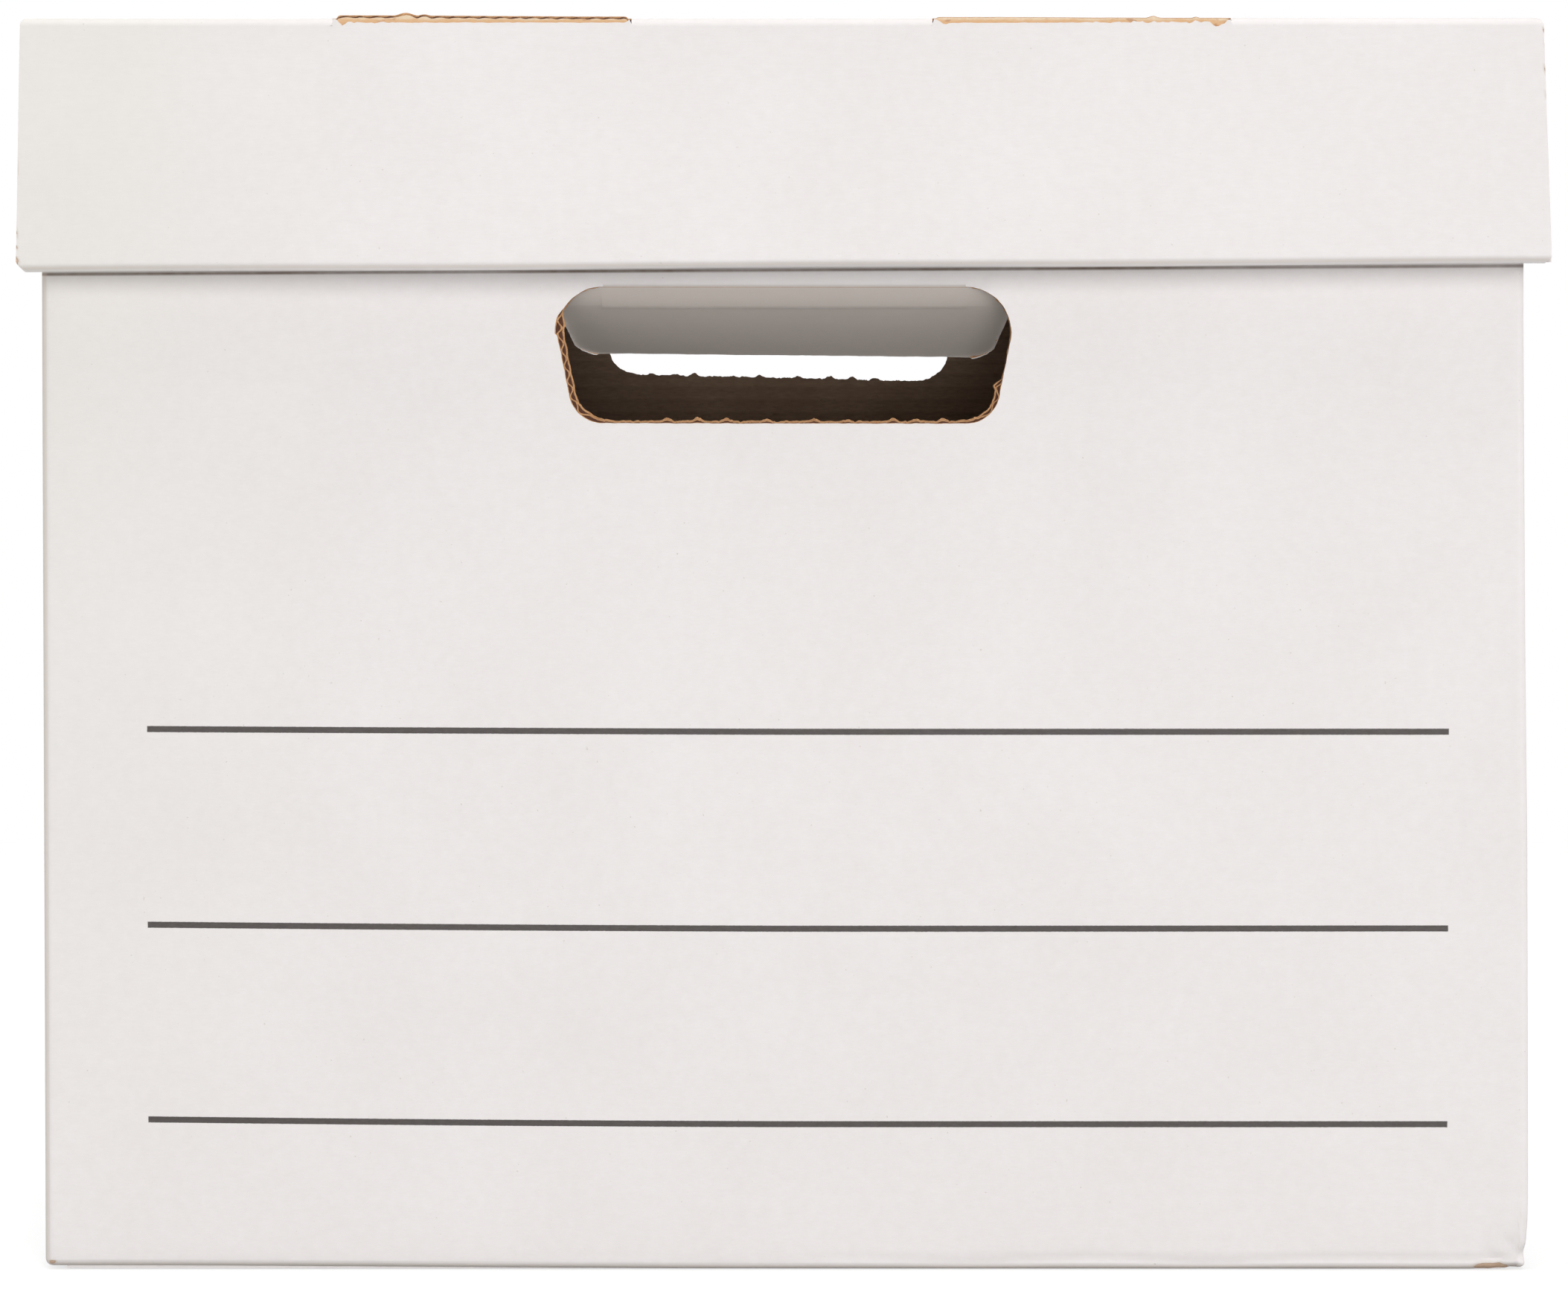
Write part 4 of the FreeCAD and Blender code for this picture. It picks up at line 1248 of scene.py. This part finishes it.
@dataclass
class HandFlap:
    """A hand hole's tongue, pushed in, and the paper that bridges its crease.

    The crease is crushed, so the tongue's outer paper starts at the panel's outer face, just over
    the hinge line, and meets the full board a few millimetres down.
    """

    finishes: Finishes
    side: Side
    crease_rise: float = 0.5
    crushed: float = 6.6
    crushed_to: float = 1.0
    overlap: float = 3.9
    paper: float = 0.1
    paper_reach: float = 38.0
    lip: float = 0.62
    bow: float = 0.3
    twist: float = 0.45
    cosine: float = math.cos(math.radians(BODY.flap_lean))
    sine: float = math.sin(math.radians(BODY.flap_lean))

    def lean_in(self, place: Array) -> Array:
        """Points of the upright tongue, cut askew with the rear hole and leaned in at the crease.

        The crease line lies on the board's inner face; depth is negative towards the outer face.
        """
        if self.side is Side.REAR:
            place = HANDLING.askew(place)
        depth, up = place[..., 1], place[..., 2] - BODY.crease
        return points(
            place[..., 0],
            depth * self.cosine - up * self.sine + BOARD.thickness,
            depth * self.sine + up * self.cosine + BODY.crease,
        )

    def crease_start(self) -> tuple[float, float]:
        """Depth and drop, in the tongue's own axes, of the crease on the panel's outer face."""
        rise = self.crease_rise
        out = float(HANDLING.sink(0.0, BODY.crease + rise)) - BOARD.thickness
        return out * self.cosine + rise * self.sine, out * self.sine - rise * self.cosine

    def face_depth(self, drop: Array) -> Array:
        """Depth of the tongue's outer face: from the crease it eases out to the crushed board.

        The share of the way is 1 - (1 - v)^1.35 of the drop's own share v.
        """
        depth, begin = self.crease_start()
        share = np.clip((drop - begin) / (self.crushed - begin), 0, 1)
        return depth - (self.crushed_to + depth) * (1 - (1 - share) ** 1.35)

    @staticmethod
    def half_width(drop: Array) -> Array:
        """Half the tongue's width at each drop below the crease, from the hole's outline less the kerf."""
        top, right, low, _ = BODY.hole()
        edge = np.concatenate([top[len(top) // 2 :], right, low[: len(low) // 2]])
        falling = BODY.crease - edge[:, 1]
        order = np.argsort(falling, kind="stable")
        return np.interp(drop, falling[order] + 1e-6 * np.arange(len(order)), edge[order, 0]) - BODY.kerf

    def tongue(self) -> bpy.types.Object:
        """The tongue: rows down from the crease, each as wide as the hole.

        It bows by a low sine hump down its length and is twisted a little. Its edge is a torn lip
        that stands proud of the face by an exponential of the distance from the edge. Its brown
        layers stop short by as much as the hole's torn band reaches in, with a margin.
        """
        last = BODY.hole_height - BODY.kerf
        rows = np.concatenate([evenly(0.15, last - 1.2, 0.36), evenly(last - 1.2, last, 0.12)])
        rows = np.unique(np.round(rows, 3))[:, None]
        half = self.half_width(rows)
        rim = np.array([0.0, 0.12, 0.26, 0.44, 0.7, 1.1, 1.8]) / 47.0
        share = np.concatenate([rim - 1, np.linspace(-0.95, 0.95, 101), 1 - rim[::-1]])
        across, away = half * share, np.abs(share)
        foot = across[-1]
        drop = rows + ragged(foot, Seed.TONGUE.at(self.side), 2.4, 0.12) * over(rows, last - 3.0, 3.0)
        edge_gap = np.minimum(half * (1 - away), last - rows + 0.6)
        proud = 0.75 + ragged(rows, Seed.TONGUE.at(self.side, 3), 0.8, 0.4)
        proud = proud + ragged(foot, Seed.TONGUE.at(self.side, 4), 0.9, 0.25)
        sides = over(rows, 4.5, 3.0) * (0.35 + 0.65 * over(away, 0.85, 0.1))
        lip = self.lip * np.exp(-edge_gap / 0.42) * np.clip(proud, 0, 2) * sides
        bow = self.bow * np.sin(math.pi * np.clip(drop / last, 0, 1)) * (1 - share**2 * 0.5)
        bend = bow + self.twist * (drop / last) ** 1.5 * (0.35 - share)
        up = BODY.crease - drop
        front = points(across, self.face_depth(drop) + bend - lip, up)
        band = BoxBody.torn_band(across, up) + 0.25
        inset = 1 - band * away**8 / np.maximum(half, 1.0)
        short = 1 - 1.1 / last * over(drop, last - 6.0, 6.0)
        back = points(across * inset, bend, BODY.crease - drop * short)
        down = rows[:, 0]
        cuts = {
            Rim.LEFT: Cut(across=down, pale_skin=True),
            Rim.RIGHT: Cut(across=down, pale_skin=True),
            Rim.HIGH: Cut(depth=0.25, pale_skin=True),
        }
        shell = Shell(f"{self.side.word}_tongue", self.side, BODY.half_depth)
        # The tongue's white face takes the full painted shade.
        shell.board(self.lean_in(front), self.lean_in(back), cuts, grime=1.0)
        return shell.piece(self.finishes)

    def outer_section(self) -> Array:
        """The outer paper's section, as depth and height from the hinge line.

        It runs down the panel's face to the crease, turns there in a tight bend, lies on the
        tongue's face until that has its full thickness, and dips into it.
        """
        proud = 0.02
        heights = np.linspace(self.overlap, self.crease_rise, 14)
        depths = HANDLING.sink(0.0, BODY.crease + heights) - BOARD.thickness - proud
        skirt = np.stack([depths, heights], axis=-1)
        begin = self.crease_start()[1]
        drops = begin + (self.crushed - 0.4 - begin) * np.linspace(0.03, 1.0, 16)
        drops = np.concatenate([drops, [self.crushed + 0.4, self.crushed + 1.0]])
        sunk = np.concatenate([np.full(len(drops) - 1, -proud), [0.06]])
        turn_in = np.array([[self.cosine, self.sine], [-self.sine, self.cosine]])
        tail = np.stack([self.face_depth(drops) + sunk, -drops], axis=-1) @ turn_in
        rounding = 0.25 * (skirt[-2] + tail[0]) + 0.5 * skirt[-1]
        return np.concatenate([skirt[:-1], rounding[None], tail])

    def inner_section(self) -> Array:
        """The inner paper's section: down the panel's inner face, and on down the tongue's."""
        proud = 0.03
        straight = np.linspace(self.overlap, 0.15, 7)
        panel = np.stack([np.full_like(straight, proud), straight], axis=-1)
        middle = np.array([[0.03, 0.06], [0.02, 0.02]])
        down, away = np.array([[self.sine, -self.cosine], [self.cosine, self.sine]])
        return np.concatenate([panel, middle, straight[::-1, None] * down + proud * away])

    def crease_paper(self, outer: bool) -> bpy.types.Object:
        """One liner where it bridges the crease: its section, given a paper's thickness, carried across."""
        section = self.outer_section() if outer else self.inner_section()
        kind, face = ("outer", Face.WHITE) if outer else ("inner", Face.KRAFT)
        heading = unit(np.gradient(section, axis=0))
        normal = np.stack([heading[:, 1], -heading[:, 0]], axis=-1) * (1 if outer else -1)
        places = np.arange(len(section))
        thick = self.paper * smooth(np.minimum(places, places[::-1]) / 3.0)
        across = evenly(-self.paper_reach, self.paper_reach, 1.2)
        top, bottom = (
            points(across, line[:, :1] + BOARD.thickness, line[:, 1:] + BODY.crease)
            for line in (section, section - normal * thick[:, None])
        )
        # Painted shade: the tongue's painted shade fades in over the crease.
        tongue_shade = np.broadcast_to(under(section[:, 1:], self.crease_rise + 0.3, 1.2), top.shape[:2])
        shell = Shell(f"{self.side.word}_crease_{kind}_paper", self.side, BODY.half_depth)
        shell.add(top, face, tongue_shade)
        shell.add(bottom, face)
        for rim in Rim:
            shell.add(np.stack([rim.of(top), rim.of(bottom)]), face, np.stack([rim.of(tongue_shade)] * 2))
        return shell.piece(self.finishes)

    def build(self) -> None:
        """Make the tongue and both bridging papers, and settle the tongue."""
        body = f"{self.side.word}_flap"
        settle(self.tongue(), body, "hand_flap_board", f"{self.side.word}_hand_flap")
        start = np.array([0.0, 0.0, BODY.crease + self.crease_rise + 0.1])
        end = start + 1.6 * np.array([0.0, self.sine, -self.cosine])
        first, last = (self.side.place(point, BODY.half_depth) * MM for point in (start, end))
        for outer in (True, False):
            paper = self.crease_paper(outer)
            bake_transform(paper)


# The lid.
SLOT_CHIPS = ((0.5, -90.6, 1.1), (0.35, 33.6, 1.3), (0.9, 89.4, 1.7))
TAB_LUMPS = ((0.55, -77.6, 2.6), (0.25, -73.9, 1.5), (0.4, 76.6, 1.6), (0.25, 85.4, 1.0))
UNSHADED_TAB = (1.0, -77.6, 3.4)


@dataclass
class Lid:
    """The tray lid: top, flanges and rolled ends with their lock tabs."""

    finishes: Finishes
    shoulder: float = LID.under - 1.2
    left_chip: float = 1.9
    right_chip: float = 1.3
    corner_gap: float = 1.0
    corner_height: float = 44.0
    corner_taper: float = 8.0

    @staticmethod
    def open_edge(cut: Array) -> Array:
        """The surface between each point of an edge and the next: cut where both are, else white."""
        return np.where(cut[1:] & cut[:-1], Face.CUT.value, Face.WHITE.value)

    def top(self) -> bpy.types.Object:
        """The top: a flat with quarter-round folds on all four sides, and the open slots.

        Each row runs across and each column from front to rear; in a slot the column ends early.
        """
        out_by, fall_by = (part[1:] for part in bent(BOARD.fold, 2.0))
        flat = LID.steps(LID.half_width - BOARD.fold, LID.slot_gap)
        across = np.concatenate([-(flat[-1] + out_by)[::-1], flat, flat[-1] + out_by])
        side_fall = np.concatenate([fall_by[::-1], np.zeros(len(flat)), fall_by])
        slot = LID.in_tab(across, LID.slot_gap)
        slot_start = LID.half_depth - 2 * BOARD.thickness - LID.slot_gap
        start = np.where(slot, slot_start, LID.half_depth - BOARD.fold)
        middle = np.linspace(-1, 1, 61)[:, None] * start
        out = np.where(slot, 0.0, out_by[:, None])
        fall = np.where(slot, 0.0, fall_by[:, None])
        back_to = np.concatenate([-(start + out)[::-1], middle, start + out])
        end_fall = np.concatenate([fall[::-1], np.zeros_like(middle), fall])
        drop = np.minimum(np.maximum(end_fall, side_fall), BOARD.fold)
        depth = np.where(slot, BOARD.gap, 0.0)
        cuts = {
            rim: Cut(across, depth, (0.0, way, 0.0), face=self.open_edge(slot))
            for rim, way in ((Rim.LOW, 1.0), (Rim.HIGH, -1.0))
        }
        shell = Shell("lid_top")
        shell.board(points(across, back_to, LID.top - drop), points(across, back_to, LID.under), cuts)
        return shell.piece(self.finishes, HANDLING.lid)

    def side_flange(self, side: Side) -> bpy.types.Object:
        """A side flange: a plate that leans out by the flare from top to bottom."""
        board = BOARD.thickness
        up = evenly(LID.under, LID.top - LID.side_drop, 3.0)[::-1, None]
        length = evenly(board - LID.half_depth, LID.half_depth - board, 4.0)
        lean = -LID.spread * (LID.under - up)
        shell = Shell(f"lid_{side.word}_side", side, LID.half_width)
        cut = Cut(inwards=(0.0, 0.0, 1.0))
        shell.board(points(length, lean, up), points(length, lean + board, up), {Rim.LOW: cut})
        return shell.piece(self.finishes, HANDLING.lid)

    def outer_flange(self, end: Side) -> bpy.types.Object:
        """An end's outer flange with the first half of the rolled lower edge.

        Rows go down the face and round a quarter circle at the foot; each is as wide as the leaning
        side flanges make it, less the worn lower corners.
        """
        out_by, back_by = (part[1:] for part in bent(BOARD.fold, 1.25))
        share = np.concatenate(
            [np.linspace(0, 0.08, 5), np.linspace(0.12, 0.9, 22), np.linspace(0.905, 1.0, 14)]
        )
        across = np.linspace(-1, 1, 521)
        middle = across * LID.half_width
        low = LID.low(middle)
        foot = low + BOARD.fold
        curl = foot - out_by[:, None]
        up = np.concatenate([LID.under + (foot - LID.under) * share[:, None], curl, curl[-1:]])
        behind = np.concatenate([np.zeros(len(share)), back_by, [BOARD.thickness]])
        height = up - low
        left_chip = self.left_chip * np.clip((2.1 - height) / 2.1, 0, 1) ** 1.2
        chip = np.where(across < 0, left_chip, self.right_chip * under(height, 1.6, 1.6) ** 2)
        plan = across * (LID.half_width + LID.spread * (LID.under - up) - chip)
        slotted = LID.in_tab(middle, LID.slot_gap)
        uneven = 0.1 + 0.22 * under(middle, -77.0, 3.0) + 0.34 * over(middle, 61.0, 3.0)
        lift = self.slot_lift(middle) + ragged(middle, Seed.SLOT.at(end), 0.8, 1.0) * uneven * slotted
        fade = np.clip(1 - (LID.under - up) / 3.0, 0, 1)
        front = points(plan, behind[:, None], up + fade * lift)
        back = points(plan, BOARD.thickness, front[..., 2] - fade * 0.25 * slotted)
        depth = np.where(slotted, BOARD.gap, 0.0)
        cuts = {
            Rim.LOW: Cut(across=middle, depth=depth, face=self.open_edge(slotted)),
            Rim.LEFT: Cut(depth=0.3, inwards=(1.0, 0.0, 0.0)),
            Rim.RIGHT: Cut(depth=0.3, inwards=(-1.0, 0.0, 0.0)),
        }
        shell = Shell(f"lid_{end.word}_outer_wall", end, LID.half_depth)
        shell.board(front, back, cuts)
        return shell.piece(self.finishes, HANDLING.lid, HANDLING.bare_lid)

    @staticmethod
    def slot_lift(across: Array) -> Array:
        """How far the outer wall stands up in a slot, where the knife cut round the fold's outside.

        It is level along the slot and rises to the top at both ends, faster at the outer one.
        """
        place, left, gap = np.abs(across), across < 0, LID.slot_gap
        level = np.where(left, 0.74, 0.62 + 0.14 * over(across, 61.0, 3.0))
        inner = 1 - over(place, LID.tab_start - gap, np.where(left, 1.5, 2.6))
        outer = 1 - under(place, LID.tab_end + gap, np.where(left, 2.4, 1.6))
        lift = level + (1.5 - level) * np.maximum(inner, outer) - humps(across, SLOT_CHIPS)
        return np.where(LID.in_tab(across, gap), lift, 0.0)

    def rim_strip(self, end: Side) -> bpy.types.Object:
        """The strip between the roll's two creases: flat below, with a quarter-round rear edge."""
        board = BOARD.thickness
        out_by, rise_by = (part[1:] for part in bent(BOARD.fold, 1.6))
        bend = 3 * board - BOARD.fold
        behind = np.concatenate([np.linspace(board, bend, 4), bend + out_by])[:, None]
        rise = np.concatenate([np.zeros(4), rise_by])[:, None]
        across = evenly(-LID.rolled_half_width, LID.rolled_half_width, 4.0)
        low = LID.low(across)
        shell = Shell(f"lid_{end.word}_rim", end, LID.half_depth)
        shell.board(points(across, behind, low + rise), points(across, behind, low + board), {})
        return shell.piece(self.finishes, HANDLING.lid)

    def inner_flange(self, end: Side) -> bpy.types.Object:
        """The rolled-in flange: it passes round the corner flaps, and its lock tabs stand up.

        Its plan steps back by one board over the bend; a tab's brown face is cut a little lower than
        its white one, so that the flutes show along its top.
        """
        board, shoulder = BOARD.thickness, self.shoulder
        across = LID.steps(LID.rolled_half_width, 0.0)
        away, left, tab = np.abs(across), across < 0, LID.in_tab(across, 0.0)
        offset = board * (1 + np.clip((away - LID.tab_end - LID.bend_margin) / LID.bend_run, 0, 1))
        rise = LID.tab_rise - np.where(left, 0.05, 0.45) + 0.12 * np.sin(across / 19.0)
        nose = over(away, LID.tab_start, 1.0) * under(away, LID.tab_end, 1.0)
        crown = np.where(tab, LID.top - 0.25 + (rise + 0.25) * nose, LID.under - LID.slot_gap)
        crown = crown + humps(across, TAB_LUMPS) * tab
        wander = ragged(across, Seed.TAB.at(end), 1.5, 0.07) * tab
        base = LID.low(across) + board
        rows, tip = np.linspace(0, 1, 12)[:, None], np.linspace(0, 1, 8)[1:, None]
        lower = base + (shoulder - base) * rows

        def face(level: Array, depth: float) -> Array:
            """One face of the flange, up to a level, at a depth behind its plan line."""
            up = np.concatenate([lower, shoulder + (level - shoulder) * tip])
            return points(across, offset + depth, up)

        beads = 0.16 * (0.5 - 0.5 * np.cos(2 * math.pi * across / BOARD.pitch)) ** 2
        bevel = np.where(left, 0.48 + beads, 0.14) * tab
        white, brown = face(crown + wander * 0.5, board), face(crown - bevel + wander, 0.0)
        skins = np.full((len(white) - 1, len(across) - 1), Face.KRAFT.value)
        skins[len(rows) :, tab[1:] & tab[:-1]] = Face.CORE.value
        # Painted shade: the left tab's cut top, but for one span, is as dark as the shade in the flute gaps.
        stain = 0.95 * (1 - humps(across, (UNSHADED_TAB,))) * (tab & left)
        cut = Cut(across, 0.55 * tab, (0.0, 0.0, -1.0), stain)
        shell = Shell(f"lid_{end.word}_inner_wall", end, LID.half_depth)
        shell.board(white, brown, {Rim.HIGH: cut}, skins)
        return shell.piece(self.finishes, HANDLING.lid)

    def corner_flap(self, end: Side, flank: Side) -> bpy.types.Object:
        """A corner flap, from a side flange's fold to its free edge behind the outer flange."""
        sign = -1.0 if (end is Side.FRONT) == (flank is Side.LEFT) else 1.0
        high = LID.under - self.corner_gap
        low = high - self.corner_height + self.corner_taper * np.linspace(0, 1, 15)
        free = LID.tab_end + LID.bend_margin + LID.bend_run + self.corner_gap

        def fold(up: Array) -> Array:
            """Place of the fold at a height."""
            return sign * (LID.half_width - BOARD.thickness + LID.spread * (LID.under - up))

        shell = Shell(f"lid_{end.word}_{flank.word}_corner_board", end, LID.half_depth)
        shell.strip(low, high, 111, fold, sign * free, BOARD.thickness)
        return shell.piece(self.finishes, HANDLING.lid)

    def build(self) -> None:
        """Make every piece of the lid and settle it."""
        settle(self.top(), "lid", "lid_board", "lid_top_panel")
        for flank in FLANKS:
            settle(self.side_flange(flank), "lid", "lid_board", f"lid_{flank.word}_side_flange")
        for end in ENDS:
            settle(self.outer_flange(end), "lid", "lid_board", f"lid_{end.word}_outer_flange")
            settle(self.rim_strip(end), "lid", "lid_board", f"lid_{end.word}_rim_strip")
            settle(self.inner_flange(end), "lid", "lid_board", f"lid_{end.word}_inner_flange")
            for flank in FLANKS:
                node = f"lid_{end.word}_{flank.word}_corner_flap"
                settle(self.corner_flap(end, flank), "lid", "lid_inner_board", node)


# The studio.
@dataclass
class Studio:
    """A pale floor, soft lamps and the camera."""

    floor_glow: float = 0.66
    floor_reach: float = 9.0
    floor_level: float = -0.0002
    ambient: float = 0.2
    lens: float = 193.76
    place: tuple = (0.89, -1942.1, 229.56)
    pitch: float = 2.721
    yaw: float = -0.032
    roll: float = -0.017

    def floor(self) -> None:
        """A wide pale floor that stays white to the camera but keeps the box's shadow.

        Near the box the camera sees the matt floor with a glow added, and from a metre away on it
        sees plain white.
        """
        mesh = bpy.data.meshes.new("floor")
        corners = points([-1, 1, 1, -1], [-1, -1, 1, 1], 0.0) * self.floor_reach
        mesh.from_pydata((corners + (0.0, 0.0, self.floor_level)).tolist(), [], [(0, 1, 2, 3)])
        made = bpy.data.objects.new("floor", mesh)
        bpy.context.scene.collection.objects.link(made)
        material = bpy.data.materials.new("floor")
        wiring = Wiring.of(material)
        matt = wiring.node("ShaderNodeBsdfDiffuse", (0.5, 0.5, 0.5, 1.0))
        pale = wiring.node("ShaderNodeBsdfDiffuse", (0.42, 0.42, 0.42, 1.0))
        glow = wiring.node("ShaderNodeEmission", (1, 1, 1, 1), self.floor_glow)
        white = wiring.node("ShaderNodeEmission", (1, 1, 1, 1), 1.0)
        both = wiring.node("ShaderNodeAddShader", pale, glow)
        away = wiring.node("ShaderNodeVectorMath", wiring.place(), out="Value", operation="LENGTH")
        seen = wiring.node("ShaderNodeMixShader", away.above(0.62, 0.34), both, white)
        camera = wiring.node("ShaderNodeLightPath", out="Is Camera Ray")
        wiring.end("ShaderNodeOutputMaterial", wiring.node("ShaderNodeMixShader", camera, matt, seen))
        mesh.materials.append(material)

    def sky(self) -> None:
        """White surroundings to the camera and in reflections, and a dimmer even light on the box."""
        world = bpy.data.worlds.new("studio")
        bpy.context.scene.world = world
        wiring = Wiring.of(world)
        kinds = ("Is Camera Ray", "Is Glossy Ray", "Is Transmission Ray")
        seen = sum((wiring.node("ShaderNodeLightPath", out=kind) for kind in kinds), 0.0)
        dim = wiring.node("ShaderNodeBackground", (1, 1, 1, 1), self.ambient)
        white = wiring.node("ShaderNodeBackground", (1, 1, 1, 1), 1.0)
        shader = wiring.node("ShaderNodeMixShader", seen.above(0.5, 0.1), dim, white)
        wiring.end("ShaderNodeOutputWorld", shader)

    @staticmethod
    def lamp(name: str, place: tuple, target: tuple, size: tuple, power: float) -> None:
        """A soft lamp, width by height in metres, aimed at a target."""
        light = bpy.data.lights.new(name, "AREA")
        light.shape = "RECTANGLE"
        light.size, light.size_y = size
        light.energy = power
        made = bpy.data.objects.new(name, light)
        made.location = place
        made.rotation_euler = (Vector(target) - Vector(place)).to_track_quat("-Z", "Y").to_euler()
        bpy.context.scene.collection.objects.link(made)

    def camera(self) -> None:
        """The camera, level with the lid and aimed a little down at the front."""
        data = bpy.data.cameras.new("camera")
        data.sensor_width = 36.0
        data.lens = self.lens
        data.shift_y = -0.05
        data.clip_start, data.clip_end = 0.05, 60.0
        made = bpy.data.objects.new("camera", data)
        made.location = Vector(self.place) * MM
        turns = (math.radians(turn) for turn in (90.0 - self.pitch, self.roll, -self.yaw))
        made.rotation_euler = Euler(tuple(turns), "XYZ")
        bpy.context.scene.collection.objects.link(made)
        bpy.context.scene.camera = made

    def build(self) -> None:
        """Set up the whole studio."""
        self.floor()
        self.sky()
        self.lamp("front_softbox", (0.8, -4.2, 1.55), (0, -0.2, 0.15), (1.9, 3.1), 118.0)
        self.lamp("low_fill", (0.0, -2.7, 0.19), (0, -0.2, 0.2), (0.3, 0.14), 3.5)
        self.lamp("rear_softbox", (-0.7, 3.9, 1.4), (0, 0.2, 0.15), (1.6, 1.0), 110.0)
        self.lamp("top_softbox", (0.1, -0.35, 2.4), (0, -0.1, 0.2), (1.8, 1.0), 22.0)
        for name, sign in (("left_softbox", -1.0), ("right_softbox", 1.0)):
            self.lamp(name, (3.4 * sign, 0.3, 1.2), (0, 0.1, 0.15), (1.4, 1.0), 30.0)
        self.camera()
        bpy.context.scene.view_settings.view_transform = "Standard"


def main() -> None:
    """Build the studio, the body, the hand flaps and the lid."""
    logging.basicConfig(level=logging.INFO, format="%(name)s: %(message)s")
    cut = CutEdge("cut_edge", 0.82)
    kraft = KraftLiner("kraft_liner", 0.72)
    core = TornCore("torn_core", 0.85)
    printed = Finishes(WhiteLiner("body_white_ruled", 0.56, ruled=True, rub=0.8), kraft, cut, core)
    body = Finishes(WhiteLiner("body_white", 0.56), kraft, cut, core)
    flap = Finishes(WhiteLiner("hand_flap_white", 0.6, grain=(9.0, 1.0, 1.0), rub=0.8), kraft, cut, core)
    lid = Finishes(
        WhiteLiner("lid_white", 0.56, grain=(6.0, 1.0, 1.0), flutes="x"),
        KraftLiner("lid_kraft_liner", 0.72, flutes="x", grain=(1.0, 5.0, 1.0)),
        CutEdge("lid_cut_edge", 0.82),
        TornCore("lid_torn_core", 0.85),
    )
    Studio().build()
    BoxBody(printed, body).build()
    for side in ENDS:
        HandFlap(flap, side).build()
    Lid(lid).build()


if __name__ == "__main__":
    main()
